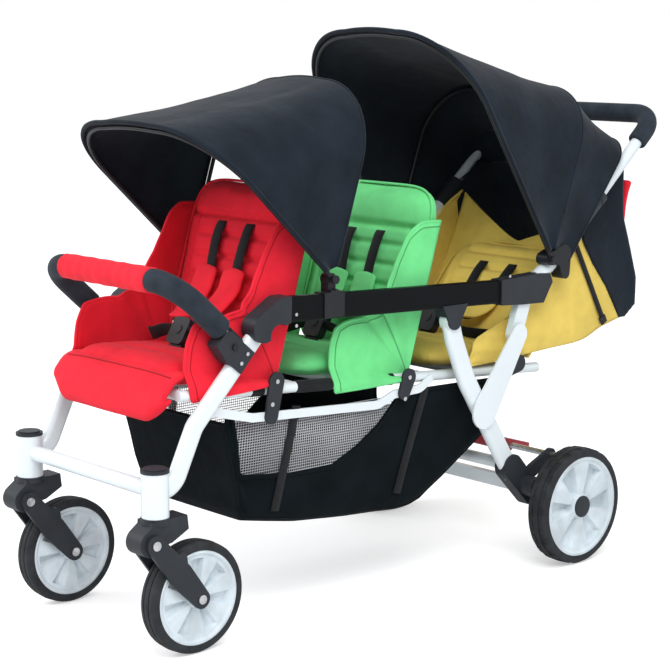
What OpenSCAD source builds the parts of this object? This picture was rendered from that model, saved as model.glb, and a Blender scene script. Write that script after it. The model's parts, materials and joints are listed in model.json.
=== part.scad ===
// Triple tandem stroller. +Z is up, the ground is z = 0, the front is -Y and the left side is +X.
// Lengths along the stroller are given as distances behind the caster stems, in millimetres.

/* [Wheels] */
// Outer diameter of a front wheel
front_wheel_d = 200; // [184:1:206]
// Width of a front tyre
front_tyre_w = 38; // [30:1:40]
// Height of the front tyre outside its rim
front_tyre_h = 16; // [10:1:20]
// Outer diameter of a rear wheel
rear_wheel_d = 238; // [220:1:246]
// Width of a rear tyre
rear_tyre_w = 46; // [36:1:48]
// Height of the rear tyre outside its rim
rear_tyre_h = 17; // [10:1:22]
// Distance from the middle of the stroller to the outer face of a rear wheel
rear_wheel_face_x = 299; // [296:1:310]
// Distance of the rear axle behind the caster stems
rear_axle_d = 992; // [975:1:1005]
// Diameter of the wheel axles
axle_d = 12; // [9:0.5:14]
// Scoops in a front rim
front_scoops = 7; // [5:1:9]
// Scoops in a rear rim
rear_scoops = 6; // [5:1:8]
// Tread blocks round a rear tyre
rear_tread_blocks = 22; // [12:1:30]

/* [Casters] */
// Distance of each caster stem from the middle
stem_x = 193; // [188:1:198]
// Distance of the front axle behind the stem
trail = 77; // [70:1:82]
// Outer diameter of the head tube
head_tube_d = 48; // [44:1:52]
// Length of the head tube
head_tube_l = 77; // [70:1:90]
// Height of the head tube's lower end above the front axle
head_tube_rise = 155; // [150:1:165]
// Diameter of the swivel stem
stem_d = 20; // [14:1:24]
// Distance of the fork pivot in front of the stem
fork_pivot_lead = 19; // [14:1:24]
// Height of the fork pivot above the front axle
fork_pivot_rise = 113; // [108:1:116]
// Thickness of a fork arm
fork_arm_t = 7; // [5:0.5:9]

/* [Front legs] */
// Width of a front leg seen from the side
front_leg_w = 35; // [30:1:38]
// Thickness of a front leg
front_leg_t = 20; // [16:1:21]
// Diameter of the front cross tube
cross_tube_d = 28; // [22:1:32]
// Height of the front cross tube
cross_tube_z = 300; // [296:1:306]

/* [Side rails] */
// Distance of each side rail from the middle
rail_x = 204; // [203:1:207]
// Height of a side rail's section
rail_h = 46; // [40:1:48]
// Thickness of a side rail
rail_t = 22; // [18:1:23]
// Height of the rail's middle at its front end
rail_front_z = 583; // [576:1:590]
// Height of the rail's middle at its rear end
rail_rear_z = 563; // [558:1:568]
// Distance of the rail's front end behind the stems
rail_front_d = 285; // [280:1:292]
// Distance of the rail's rear end behind the stems
rail_rear_d = 852; // [846:1:858]

/* [Seat frame] */
// Distance of each seat rail from the middle
seat_rail_x = 168; // [165:1:168]
// Diameter of a seat rail
seat_rail_d = 20; // [16:1:20]
// Height of the seat rail's front end
seat_rail_front_z = 452; // [446:1:458]
// Height of the seat rail's rear end
seat_rail_rear_z = 389; // [385:1:394]
// Depth of the flat bar under each seat rail
seat_bar_h = 16; // [12:1:20]

/* [Rear legs] */
// Width of a rear leg seen from the side
rear_leg_w = 42; // [36:1:44]
// Thickness of a rear leg
rear_leg_t = 20; // [16:1:20]
// Diameter of the rear cross tube
rear_cross_d = 24; // [18:1:26]
// Height of the flat bar between the wheel brackets
axle_bar_h = 26; // [20:1:30]
// Thickness of a brace plate
brace_t = 4; // [3:0.5:5]
// Diameter of the fold pivot pins
fold_pin_d = 12; // [8:1:14]

/* [Handle] */
// Outer diameter of a handle upright
upright_d = 28; // [26:1:29]
// Outer diameter of the sliding handle tube
handle_tube_d = 24; // [20:1:24]
// Slope of the handle above the bend
handle_slope = 41.5; // [38:0.5:45]
// Outer diameter of the foam grip
grip_d = 40; // [34:1:42]
// Distance of the grip bar up the slope from the bend in the upright
grip_reach = 443; // [430:1:460]
// Bend radius of the handle corners
handle_bend_r = 55; // [50:1:70]
// Length of a collar
collar_l = 72; // [60:1:76]

/* [Bumper bar] */
// Diameter of the bumper's tube
bumper_tube_d = 19; // [16:1:20]
// Outer diameter of the black bumper pads
bumper_pad_d = 42; // [38:1:44]
// Outer diameter of the middle sleeve
bumper_sleeve_d = 45; // [42:1:48]
// Length of the middle sleeve
bumper_sleeve_l = 256; // [236:1:260]
// Slope of the bumper's arms
bumper_slope = 138; // [135:0.5:141]
// Reach of the bumper from its brackets
bumper_reach = 160; // [150:1:170]

/* [Seats] */
// Half the width of a seat pad
seat_half_w = 170; // [164:1:170]
// Thickness of a seat cushion at its edge
cushion_t = 34; // [28:1:38]
// Crown of a seat cushion
cushion_crown = 12; // [6:1:16]
// Thickness of a backrest pad at its edge
back_t = 34; // [28:1:38]
// Length of a backrest
back_l = 352; // [330:1:356]
// Lean of the front and middle backrests from upright
back_lean = 16.5; // [14:0.5:19]
// Lean of the rear backrest from upright
rear_back_lean = 42; // [38:0.5:44]
// Thickness of the sewn cloth panels
cloth_t = 3; // [2.5:0.5:4]

/* [Canopies] */
// Diameter of a canopy bow
bow_d = 8; // [6:1:9]
// Reach of the front canopy's front bow
front_bow_reach = 398; // [385:1:405]
// Reach of the front canopy's rear bow
front_back_bow_reach = 364; // [355:1:370]
// Reach of the rear canopy's front bow
rear_bow_reach = 532; // [520:1:540]
// Reach of the rear canopy's rear bow
rear_back_bow_reach = 345; // [335:1:355]

/* [Basket] */
// Height of the basket's floor
basket_floor_z = 172; // [165:1:180]

/* [Hidden] */
$fn = 48;

white = "whitesmoke";
black = "#202327";
red = "#d8232e";
green = "#5fce6a";
yellow = "#e6cb4e";

// Clearances
slip = 0.05;
seat_gap = 0.3;
body_gap = 0.6;

front_wheel_r = front_wheel_d / 2;
rear_wheel_r = rear_wheel_d / 2;
axle_r = axle_d / 2;

// Ends of the whole stroller, which put the origin under its middle
housing_front = 47;
bend_d = 981;
bend_z = 604;
rear_end_d = bend_d + (grip_reach * cos(handle_slope)) + grip_d / 2;
stem_y = -(rear_end_d - housing_front) / 2;

// Points on the side of the frame, as [distance behind the stems, height]
head_z0 = front_wheel_r + head_tube_rise;
head_z1 = head_z0 + head_tube_l;
fork_pivot = [-fork_pivot_lead, front_wheel_r + fork_pivot_rise];
front_axle = [trail, front_wheel_r];
rear_axle = [rear_axle_d, rear_wheel_r];
leg_top = [228, 549];
leg_pivot = [697, 520];
arm_pivot = [912, 567];
knuckle = [880, 475];
brace_pivot = [783, 330];
bumper_socket = [166, 540];
front_clip = [385, 628];
rear_clip = [959, 619];
front_leg_path = [[0, cross_tube_z - 2], [38, cross_tube_z], [84, 398], leg_top];
rear_leg_path = [leg_pivot, [707, 482], [745, 395], [880, 189]];
brake_axis = [985, 214];
cross_bar = [866, 210];
axle_bar = [916, 158];

// Hinge of each backrest and front edge of each cushion, front seat first
back_hinges = [[275, 452], [605, 418], [917, 408]];
cushion_fronts = [62, 348, 690];
cushion_backs = [for (h = back_hinges) h[0] - 8];
function seat_rail_z(d) = seat_rail_front_z
    + (seat_rail_rear_z - seat_rail_front_z) * (d - seat_rail_front_d) / (seat_rail_rear_d - seat_rail_front_d);
seat_rail_front_d = 25;
seat_rail_rear_d = 990;
seat_slope = atan2(seat_rail_rear_z - seat_rail_front_z, seat_rail_rear_d - seat_rail_front_d);
leg_in_x = stem_x - front_leg_t / 2;
rail_side_x = seat_rail_x + seat_rail_d / 2;
seat_bar_t = leg_in_x - rail_side_x - 2 * seat_gap;
seat_bar_x = rail_side_x + seat_gap + seat_bar_t / 2;
seat_bar_path = [[106, 422], [224, 392], [529, 374], [572, 389], [640, 391], [672, 409]];
plate_x0 = seat_bar_x + seat_bar_t / 2 + seat_gap;
plate_t = 5;
lug_t = 4;

// Placing helpers
module both_sides() { children(); mirror([1, 0, 0]) children(); }
module side(x) { translate([x, stem_y, 0]) rotate([90, 0, 90]) children(); }
module across(p) { translate([0, stem_y + p[0], p[1]]) rotate([0, 90, 0]) children(); }
module tilted(p, angle) { translate([0, stem_y + p[0], p[1]]) rotate([angle, 0, 0]) children(); }
module plate(x0, t) { side(x0) linear_extrude(t) children(); }
module bar(p, x0, x1, r) { translate([x0, 0, 0]) across(p) cylinder(h = x1 - x0, r = r); }

// Plane outlines
module flat_oval(w, t) {
    square([w - t, t], center = true);
    for (s = [-1, 1]) translate([s * (w - t) / 2, 0]) circle(t / 2);
}
module rounded_box(w, h, r) {
    square([w - 2 * r, h], center = true);
    square([w, h - 2 * r], center = true);
    for (a = [-1, 1], b = [-1, 1]) translate([a * (w / 2 - r), b * (h / 2 - r)]) circle(r);
}
// A tapered link: two round ends joined by their common tangents
module link(a, ra, b, rb) {
    dir = atan2(b[1] - a[1], b[0] - a[0]);
    lean = acos((ra - rb) / norm(b - a));
    polygon([for (e = [[a, ra, 1], [a, ra, -1], [b, rb, -1], [b, rb, 1]])
        e[0] + e[1] * [cos(dir + e[2] * lean), sin(dir + e[2] * lean)]]);
    translate(a) circle(ra);
    translate(b) circle(rb);
}

// Bent tubes in a plane: straight runs that reach a little way into round bends of a slightly fuller section
bend_swell = 1.01;
bend_lap = 0.5;
function unit(v) = v / norm(v);
function turn(p, i) = let (a = unit(p[i] - p[i - 1]), b = unit(p[i + 1] - p[i]))
    atan2(a[0] * b[1] - a[1] * b[0], a * b);
function trim(p, i, r) = (i == 0 || i == len(p) - 1) ? 0 : r * tan(abs(turn(p, i)) / 2);
module run(a, b) {
    dir = b - a;
    translate([a[0], a[1], 0]) rotate([0, 0, atan2(dir[1], dir[0]) - 90]) rotate([-90, 0, 0])
        linear_extrude(norm(dir)) children();
}
// The section's x lies in the plane, its y stands across the plane
module bent_tube(p, r) {
    for (i = [0 : len(p) - 2]) {
        dir = unit(p[i + 1] - p[i]);
        start = i == 0 ? 0 : trim(p, i, r) - bend_lap;
        end = i == len(p) - 2 ? 0 : trim(p, i + 1, r) - bend_lap;
        run(p[i] + dir * start, p[i + 1] - dir * end) children();
    }
    for (i = [1 : 1 : len(p) - 2]) {
        a = unit(p[i] - p[i - 1]);
        s = sign(turn(p, i));
        centre = p[i] - a * trim(p, i, r) + s * r * [-a[1], a[0]];
        start = atan2(-s * a[0], s * a[1]);
        translate([centre[0], centre[1], 0]) rotate([0, 0, s > 0 ? start : start + turn(p, i)])
            rotate_extrude(angle = abs(turn(p, i))) translate([r, 0]) scale(bend_swell) children();
    }
}
// A U in the X and slope plane, with its ends at v0
function u_path(half_w, v0, v1) = [[-half_w, v0], [-half_w, v1], [half_w, v1], [half_w, v0]];

// Cloth and padding: rings of points joined into one closed skin
function flip(v) = [for (i = [len(v) - 1 : -1 : 0]) v[i]];
function mix(a, b, s) = a * (1 - s) + b * s;
module loft(rings, shell = false) {
    n = len(rings[0]);
    last = len(rings) - 1;
    top = last * n;
    centre = len(rings) * n;
    fans = [for (i = [0 : n - 1]) each [[centre, (i + 1) % n, i], [centre + 1, top + i, top + (i + 1) % n]]];
    strips = [for (i = [0 : n / 2 - 2]) each [
        [n - 1 - i, n - 2 - i, i + 1], [n - 1 - i, i + 1, i],
        [top + i, top + i + 1, top + n - 2 - i], [top + i, top + n - 2 - i, top + n - 1 - i]]];
    sides = [for (k = [0 : last - 1], i = [0 : n - 1]) each [
        [k * n + i, k * n + (i + 1) % n, (k + 1) * n + i],
        [k * n + (i + 1) % n, (k + 1) * n + (i + 1) % n, (k + 1) * n + i]]];
    middles = shell ? [] : [middle(rings[0]), middle(rings[last])];
    polyhedron(concat([for (r = rings) each r], middles), concat(shell ? strips : fans, sides), convexity = 8);
}
function middle(r, i = 0) = i == len(r) - 1 ? r[i] / len(r) : r[i] / len(r) + middle(r, i + 1);
function side_point(x, p) = [x, stem_y + p[0], p[1]];
// Height of a chain of [station, value] pairs at a station
function chain(c, s, i = 0) = (i >= len(c) - 2 || s <= c[i + 1][0])
    ? mix(c[i][1], c[i + 1][1], (s - c[i][0]) / (c[i + 1][0] - c[i][0])) : chain(c, s, i + 1);

// Wheels
module wheel_spin() { rotate([0, 90, 0]) children(); }
module tyre(r, h, w) {
    shoulder = 9;
    groove = 2.5;
    wheel_spin() rotate_extrude($fn = 96) difference() {
        polygon([[r - h, -w / 2], for (a = [-90 : 30 : 90])
            [r - shoulder + shoulder * cos(a), sin(a) * shoulder + sign(a) * (w / 2 - shoulder)], [r - h, w / 2]]);
        for (s = [-1, 1]) translate([r - groove, s * w / 6 - groove / 2]) square([groove * 2, groove]);
    }
}
module rim(r, w, scoops) {
    hub_r = 0.24 * r;
    web_t = w * 0.55;
    lip = 7;
    pocket = web_t * 0.36;
    hole_r = 3.5;
    wheel_spin() difference() {
        union() {
            rotate_extrude($fn = 96) difference() {
                translate([0, -w / 2]) square([r, w]);
                for (s = [-1, 1]) translate([hub_r, s > 0 ? web_t / 2 : -w]) square([r - lip - hub_r, w - web_t / 2]);
            }
        }
        cylinder(h = w * 2, r = axle_r + slip, center = true);
        for (k = [0 : scoops - 1], s = [0, 1]) rotate([0, 180 * s, k * 360 / scoops])
            translate([0, 0, web_t / 2 - pocket]) linear_extrude(pocket + 1) scoop_outline(hub_r, r - lip, scoops);
        for (k = [0 : scoops - 1]) rotate([0, 0, (k + 0.25) * 360 / scoops])
            translate([r - lip - 3 * hole_r, 0, 0]) cylinder(h = w * 2, r = hole_r, center = true);
    }
}
module scoop_outline(r0, r1, scoops) {
    step = 360 / scoops;
    margin = 5;
    intersection() {
        difference() { circle(r1 - margin, $fn = 96); circle(r0 + margin); }
        polygon([[0, 0], 2 * r1 * [cos(-step * 0.1), sin(-step * 0.1)], 2 * r1 * [cos(step * 0.42), sin(step * 0.42)]]);
    }
}
front_rim_r = front_wheel_r - front_tyre_h;
rear_rim_r = rear_wheel_r - rear_tyre_h;
rear_wheel_x = rear_wheel_face_x - rear_tyre_w / 2;
module at_front_wheel() { translate([stem_x, stem_y + front_axle[0], front_axle[1]]) children(); }
module at_rear_wheel() { translate([rear_wheel_x, stem_y + rear_axle[0], rear_axle[1]]) children(); }
module rear_tyre() {
    block_l = PI * rear_wheel_d / rear_tread_blocks * 0.4;
    block_depth = 2.5;
    difference() {
        tyre(rear_wheel_r, rear_tyre_h, rear_tyre_w);
        for (k = [0 : rear_tread_blocks - 1], s = [-1, 1]) rotate([(k + s / 4) * 360 / rear_tread_blocks, 0, 0])
            translate([s * rear_tyre_w / 3, 0, rear_wheel_r]) cube([rear_tyre_w / 3, block_l, 2 * block_depth], center = true);
    }
}
module front_tyre_left() { color(black) at_front_wheel() tyre(front_wheel_r, front_tyre_h, front_tyre_w); }
module front_tyre_right() { mirror([1, 0, 0]) front_tyre_left(); }
module front_rim_left() { color(white) at_front_wheel() rim(front_rim_r, front_tyre_w - 2, front_scoops); }
module front_rim_right() { mirror([1, 0, 0]) front_rim_left(); }
module rear_tyre_left() { color(black) at_rear_wheel() rear_tyre(); }
module rear_tyre_right() { mirror([1, 0, 0]) rear_tyre_left(); }
module rear_rim_left() { color(white) at_rear_wheel() rim(rear_rim_r, rear_tyre_w - 2, rear_scoops); }
module rear_rim_right() { mirror([1, 0, 0]) rear_rim_left(); }

// Casters
housing_w = front_tyre_w + 4;
fork_x0 = housing_w / 2 + seat_gap;
module caster_housing_left() {
    flange_h = 11;
    top = head_z0 - seat_gap;
    low = fork_pivot[1];
    color(black) difference() {
        union() {
            translate([stem_x, stem_y, top - flange_h]) cylinder(h = flange_h, d = head_tube_d + 3);
            translate([stem_x, stem_y, top - 1]) cylinder(h = head_tube_l - 8, d = stem_d);
            plate(stem_x - housing_w / 2, housing_w) {
                link([-24, low + 2], 23, [-2, top - 20], 20);
                polygon([[-22, top - 3], [52, top - 1], [55, top - 26], [20, top - 44], [-24, low - 10]]);
            }
        }
        bar(fork_pivot, stem_x - housing_w, stem_x + housing_w, fold_pin_d / 2 + slip);
    }
}
module caster_housing_right() { mirror([1, 0, 0]) caster_housing_left(); }
module fork_left() {
    spur = [36, fork_pivot[1] - 30];
    color(black) for (s = [-1, 1]) plate(stem_x + (s > 0 ? fork_x0 : -fork_x0 - fork_arm_t), fork_arm_t) {
        link(fork_pivot, 17, mix(fork_pivot, front_axle, 0.55), 23);
        link(mix(fork_pivot, front_axle, 0.55), 23, front_axle, 17);
        link(spur, 9, mix(fork_pivot, front_axle, 0.5), 20);
    }
    color(black) bar(fork_pivot, stem_x - fork_x0 - 0.5, stem_x + fork_x0 + 0.5, fold_pin_d / 2);
    color(black) bar(front_axle, stem_x - fork_x0 - 0.5, stem_x + fork_x0 + 0.5, axle_r);
}
module fork_right() { mirror([1, 0, 0]) fork_left(); }

// Front legs
module front_leg_shape(extra) { side(stem_x) bent_tube(front_leg_path, 40) flat_oval(front_leg_w + extra, front_leg_t + extra); }
module front_legs() {
    bore_r = stem_d / 2 + slip;
    color(white) both_sides() difference() {
        union() {
            translate([stem_x, stem_y, head_z0]) cylinder(h = head_tube_l, d = head_tube_d);
            front_leg_shape(0);
        }
        translate([stem_x, stem_y, head_z0 - 1]) cylinder(h = head_tube_l - 4, r = bore_r);
    }
}
module front_cross_tube() {
    half = stem_x - head_tube_d / 2 + 4;
    color(white) difference() {
        bar([0, cross_tube_z], -half, half, cross_tube_d / 2);
        both_sides() translate([stem_x, stem_y, head_z0 - 1]) cylinder(h = head_tube_l + 2, d = head_tube_d);
    }
}
module head_tube_caps() {
    color(black) both_sides() translate([stem_x, stem_y, head_z1]) {
        cylinder(h = 5, d = head_tube_d + 2);
        cylinder(h = 8, d = head_tube_d - 8);
    }
}

// Side rails
rail_out_x = rail_x + rail_t / 2;
rail_front = [rail_front_d, rail_front_z];
rail_rear = [rail_rear_d, rail_rear_z];
rail_slope = atan2(rail_rear_z - rail_front_z, rail_rear_d - rail_front_d);
function rail_z(d) = mix(rail_front_z, rail_rear_z, (d - rail_front_d) / (rail_rear_d - rail_front_d));
module side_rails() {
    color(black) both_sides() side(rail_x) run(rail_front, rail_rear) rounded_box(rail_h, rail_t, 5);
}
elbow_x0 = stem_x - front_leg_t / 2 - 3;
module rail_elbows() {
    shoulder = [rail_front_d - 16, rail_front_z];
    color(black) both_sides() difference() {
        plate(elbow_x0, rail_out_x + 1 - elbow_x0) difference() {
            union() {
                link(leg_top + [-4, 6], 25, shoulder, rail_h / 2 + 1);
                translate(shoulder - [0, rail_h / 2 + 1]) square([16, rail_h + 2]);
            }
            translate(shoulder + [-10, -rail_h / 2 - 22]) circle(22);
            translate(rail_front) rotate(rail_slope) translate([-seat_gap, -rail_h]) square([rail_h, 2 * rail_h]);
        }
        front_leg_shape(2 * seat_gap);
    }
}
connector_x0 = rail_x - rail_t / 2 - 4;
connector_t = rail_t + 8;
arm_t = 16;
arm_w = 34;
upright_path = [arm_pivot + 32 * unit([bend_d, bend_z] - arm_pivot), [bend_d, bend_z],
    [bend_d, bend_z] + 196 * [cos(handle_slope), sin(handle_slope)]];
module upright_shape(extra) { side(rail_x) bent_tube(upright_path, 60) circle((upright_d + extra) / 2); }
// The same two straight runs, carried past the bend, to cut a seat for the upright
module upright_runs(extra) {
    past = 12;
    for (i = [0, 1]) side(rail_x) run(upright_path[i] - past * i * unit(upright_path[i + 1] - upright_path[i]),
        upright_path[i + 1] + past * (1 - i) * unit(upright_path[i + 1] - upright_path[i])) circle((upright_d + extra) / 2);
}
module rail_connectors() {
    color(black) both_sides() difference() {
        plate(connector_x0, connector_t) polygon([
            rail_rear + [-26, -rail_h / 2 - 2], rail_rear + [-26, rail_h / 2 + 2], [940, 592], [968, 590], [976, 572],
            [950, 532], [886, 534]]);
        side(rail_x) run(rail_front, rail_rear) rounded_box(rail_h + 2 * seat_gap, rail_t + 2 * seat_gap, 5);
        upright_shape(2 * seat_gap);
        plate(rail_x - arm_t / 2 - body_gap, arm_t + 2 * body_gap) {
            translate(arm_pivot) circle(arm_w / 2 + 1.5);
            polygon([arm_pivot + [-18, 0], arm_pivot + [-60, -80], arm_pivot + [90, -80], arm_pivot + [90, 3],
                arm_pivot + [0, 18.5]]);
        }
    }
    color(black) both_sides() bar(arm_pivot, connector_x0 + 1, connector_x0 + connector_t - 1, fold_pin_d / 2);
}

// Seat frame
module seat_rails() {
    color(white) both_sides() side(seat_rail_x)
        run([seat_rail_front_d, seat_rail_front_z], [seat_rail_rear_d, seat_rail_rear_z]) circle(seat_rail_d / 2);
    color(white) both_sides() for (d = [132, rear_plate_d])
        bar([d, seat_rail_z(d)], seat_rail_x, leg_in_x - seat_gap, seat_rail_d / 2 - 1);
}
rear_plate_d = 880;
module seat_bars() {
    color(white) both_sides() side(seat_bar_x)
        bent_tube(seat_bar_path, 30) square([seat_bar_h, seat_bar_t], center = true);
}
module seat_cross_tubes() {
    half = seat_rail_x - seat_rail_d / 2 - 0.2;
    color(white) for (d = [80, 330, 470, 656, 800, 900])
        bar([d, seat_rail_z(d)], -half, half, seat_rail_d / 2 + cushion_lift - seat_gap);
}
hinge_pin_r = 5;
module recline_plates() {
    color(black) both_sides() for (h = back_hinges) {
        foot = h == back_hinges[2] ? [rear_plate_d, seat_rail_z(rear_plate_d)]
            : [h[0] - 12, chain(seat_bar_path, h[0] - 12)];
        plate(plate_x0, plate_t) link(foot, 14, h, 17);
        bar(h, plate_x0 - lug_t - 1, plate_x0 + 1, hinge_pin_r);
    }
}

// Brackets under the side rails that carry the rear legs' hinges
module leg_brackets() {
    cheek = 4;
    x0 = rail_x - rear_leg_t / 2 - seat_gap - cheek;
    wide = rear_leg_t + 2 * seat_gap + 2 * cheek;
    low = rail_z(leg_pivot[0]) - rail_h / 2;
    color(black) both_sides() {
        difference() {
            plate(x0, wide) {
                translate(leg_pivot) {
                    circle(17);
                    polygon([[-34, low + 6 - leg_pivot[1]], [34, low + 6 - leg_pivot[1]], [13, -8], [-13, -8]]);
                }
            }
            plate(x0 + cheek, wide - 2 * cheek) translate(leg_pivot) {
                circle(rear_leg_w / 2 + 3);
                translate([-60, -60]) square([120, 60]);
            }
            side(rail_x) run(rail_front, rail_rear) rounded_box(rail_h + 2 * seat_gap, rail_t + 2 * seat_gap, 5);
        }
        bar(leg_pivot, x0 + 1, x0 + wide - 1, fold_pin_d / 2);
    }
}

// Handle
module handle_uprights() {
    top = upright_path[2];
    slope = [cos(handle_slope), sin(handle_slope)];
    color(white) both_sides() difference() {
        upright_shape(0);
        side(rail_x) run(top - 140 * slope, top + 5 * slope) circle(handle_tube_d / 2 + slip);
    }
}
collar_lip_t = 4.5;
module handle_collars() {
    top = upright_path[2];
    slope = [cos(handle_slope), sin(handle_slope)];
    lip = 6;
    color(black) both_sides() difference() {
        union() {
            side(rail_x) run(top + (lip - collar_l) * slope, top + lip * slope) circle(upright_d / 2 + 3.5);
            side(rail_x) run(top + (lip - 16) * slope, top + lip * slope) circle(upright_d / 2 + collar_lip_t);
        }
        side(rail_x) run(top - collar_l * slope, top) circle(upright_d / 2 + 0.2);
        side(rail_x) run(top - slope, top + 2 * lip * slope) circle(handle_tube_d / 2 + seat_gap);
    }
}
handle_start = 196 - 130;
module push_handle() {
    color(white) tilted([bend_d, bend_z], handle_slope) bent_tube(u_path(rail_x, handle_start, grip_reach), handle_bend_r)
        circle(handle_tube_d / 2);
}
module handle_grip() {
    foam_start = grip_reach - 86;
    color(black) tilted([bend_d, bend_z], handle_slope) difference() {
        bent_tube(u_path(rail_x, foam_start, grip_reach), handle_bend_r) circle(grip_d / 2);
        bent_tube(u_path(rail_x, foam_start - 1, grip_reach), handle_bend_r) circle(handle_tube_d / 2);
    }
}

// Bumper bar
bumper_bend_r = 62;
module in_bumper() { tilted(bumper_socket, bumper_slope) children(); }
module bumper_bar() {
    color("silver") in_bumper() bent_tube(u_path(stem_x, -20, bumper_reach), bumper_bend_r) circle(bumper_tube_d / 2);
}
module bumper_foam(r, v0) {
    in_bumper() difference() {
        bent_tube(u_path(stem_x, v0, bumper_reach), bumper_bend_r) circle(r);
        bent_tube(u_path(stem_x, v0 - 1, bumper_reach), bumper_bend_r) circle(bumper_tube_d / 2);
    }
}
module sleeve_zone(r) { in_bumper() translate([-bumper_sleeve_l / 2, bumper_reach - r, -r]) cube([bumper_sleeve_l, 2 * r, 2 * r]); }
module bumper_pads() {
    color(black) difference() {
        bumper_foam(bumper_pad_d / 2, 30);
        sleeve_zone(bumper_sleeve_d);
    }
}
module bumper_sleeve() {
    half = bumper_sleeve_l / 2;
    color(red) in_bumper() translate([-half, bumper_reach, 0]) rotate([0, 90, 0]) difference() {
        cylinder(h = bumper_sleeve_l, d = bumper_sleeve_d);
        translate([0, 0, -1]) cylinder(h = bumper_sleeve_l + 2, d = bumper_tube_d);
    }
}
bracket_x0 = stem_x - front_leg_t / 2 - 4;
bracket_t = front_leg_t + 8;
button_d = 12;
button_at = [163, 529];
module bumper_brackets() {
    socket_l = 34;
    color(black) both_sides() difference() {
        union() {
            plate(bracket_x0, bracket_t) polygon([[124, 535], [146, 558], [158, 556], [208, 514], [177, 480], [144, 507]]);
            translate([stem_x, 0, 0]) in_bumper() translate([0, -16, 0]) rotate([-90, 0, 0])
                cylinder(h = socket_l, d = bumper_tube_d + 10);
        }
        front_leg_shape(2 * seat_gap);
        translate([stem_x, 0, 0]) in_bumper() translate([0, -60, 0]) rotate([-90, 0, 0])
            cylinder(h = 120, d = bumper_tube_d + 2 * slip);
        bar(button_at, bracket_x0 + bracket_t - 6, bracket_x0 + bracket_t + 5, button_d / 2 + slip);
    }
}
module bumper_button_left() {
    color("dimgray") bar(button_at, bracket_x0 + bracket_t - 2.5, bracket_x0 + bracket_t + 3.5, button_d / 2);
}
module bumper_button_right() { mirror([1, 0, 0]) bumper_button_left(); }

// Seat cushions: a crowned pad with drawn-in sides and cross channels, and low side bolsters
cushion_lift = 0.5;
cushion_channels = 2;
function cushion_swell(u, v) = (1 - pow(abs(u), 4)) * (1 - pow(abs(v), 4));
function cushion_groove(v) = 5 * max([for (k = [1 : cushion_channels])
    exp(-pow((v - 2 * k / (cushion_channels + 1) + 1) * 9, 2))]);
function cushion_top(u, v) = cushion_t + cushion_crown * cushion_swell(u, v) - cushion_groove(v) * (1 - pow(u, 6));
module cushion(len_d, half_w) {
    rows = 18;
    cols = 12;
    pinch = 7;
    function edge(v) = half_w - pinch * pow(abs(v), 6);
    loft([for (j = [0 : rows]) let (v = 2 * j / rows - 1) flip(concat(
        [for (i = [0 : cols]) let (u = 2 * i / cols - 1)
            [u * edge(v), (v + 1) / 2 * len_d, cushion_top(u, v)]],
        [[edge(v) + 4, (v + 1) / 2 * len_d, cushion_t / 2]],
        [[edge(v), (v + 1) / 2 * len_d, 0], [-edge(v), (v + 1) / 2 * len_d, 0]],
        [[-edge(v) - 4, (v + 1) / 2 * len_d, cushion_t / 2]]
    ))]);
}
module seat_base(k) {
    front = cushion_fronts[k];
    back = cushion_backs[k];
    tilted([front, seat_rail_z(front) + seat_rail_d / 2 + cushion_lift], seat_slope) cushion(back - front, seat_half_w - 14);
}
module seat_wings(k, front_d, top_z, reach_back) {
    h = back_hinges[k];
    wing_t = 11;
    wing_x = seat_half_w - 14 + 2 + wing_t / 2;
    low = seat_rail_z(h[0]) + seat_rail_d / 2 + 20;
    r_back = 40;
    r = 18;
    both_sides() plate(wing_x - wing_t / 2, wing_t) {
        translate([front_d + r, low]) square([h[0] - reach_back - front_d - r, top_z - low - r_back]);
        translate([front_d + r, top_z - r]) circle(r);
        translate([front_d, low]) square([r, top_z - low - r]);
        translate([front_d + r, low]) square([h[0] - reach_back - r_back - front_d - r, top_z - low]);
        translate([h[0] - reach_back - r_back, top_z - r_back]) circle(r_back);
    }
}
module front_seat() {
    flap_t = 9;
    flap_d = cushion_fronts[0] - flap_t - 2;
    color(red) {
        seat_base(0);
        seat_wings(0, 84, 556, 14);
        translate([-(seat_half_w - 22), stem_y + flap_d, 412]) cube([2 * (seat_half_w - 22), flap_t, 62]);
        translate([-(seat_half_w - 22), stem_y + flap_d, 466]) cube([2 * (seat_half_w - 22), flap_t + 8, 14]);
    }
}
module middle_seat() {
    color(green) {
        seat_base(1);
        seat_wings(1, 474, 572, 38);
    }
}
module rear_seat() {
    color(yellow) {
        seat_base(2);
        seat_wings(2, 752, 545, 24);
    }
}

// Backrests: a padded back with wings, drawn in at the edges, with sewn channels
function back_edge(v) = v > 0.8 ? mix(1, 0.66, pow((v - 0.8) / 0.2, 2)) : 1;
function back_wing(v) = chain([[0, 0], [0.12, 18], [0.3, 62], [0.55, 66], [0.75, 34], [0.9, 8], [1, 0]], v);
module backrest_pad(length, half_w, wing, foot) {
    rows = 22;
    cols = 10;
    channels = [0.3, 0.5, 0.7];
    rear_bulge = 6;
    function dent(v) = 7 * max([for (c = channels) exp(-pow((v - c) * 26, 2))]);
    function face(u, v) = back_t + 8 * (1 - u * u) - dent(v) * (1 - pow(u, 6));
    function squeeze(v) = 1 - 0.65 * pow(abs(2 * v - 1), 8);
    loft([for (j = [0 : rows]) let (v = j / rows, b = half_w * back_edge(v), h = foot + v * (length - foot),
            w = wing * back_wing(v) / 66, q = squeeze(v)) concat(
        [for (i = [0 : cols]) let (u = 2 * i / cols - 1) [-u * (b - 22), -q * face(u, v), h]],
        [[-b + 12, -q * back_t - w, h], [-b, -q * back_t * 0.8 - w, h], [-b, -2, h]],
        [for (i = [0 : 4]) let (u = i / 2 - 1) [u * (b - 8), q * rear_bulge * (1 - u * u), h]],
        [[b, -2, h], [b, -q * back_t * 0.8 - w, h], [b - 12, -q * back_t - w, h]]
    )]);
}
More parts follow.
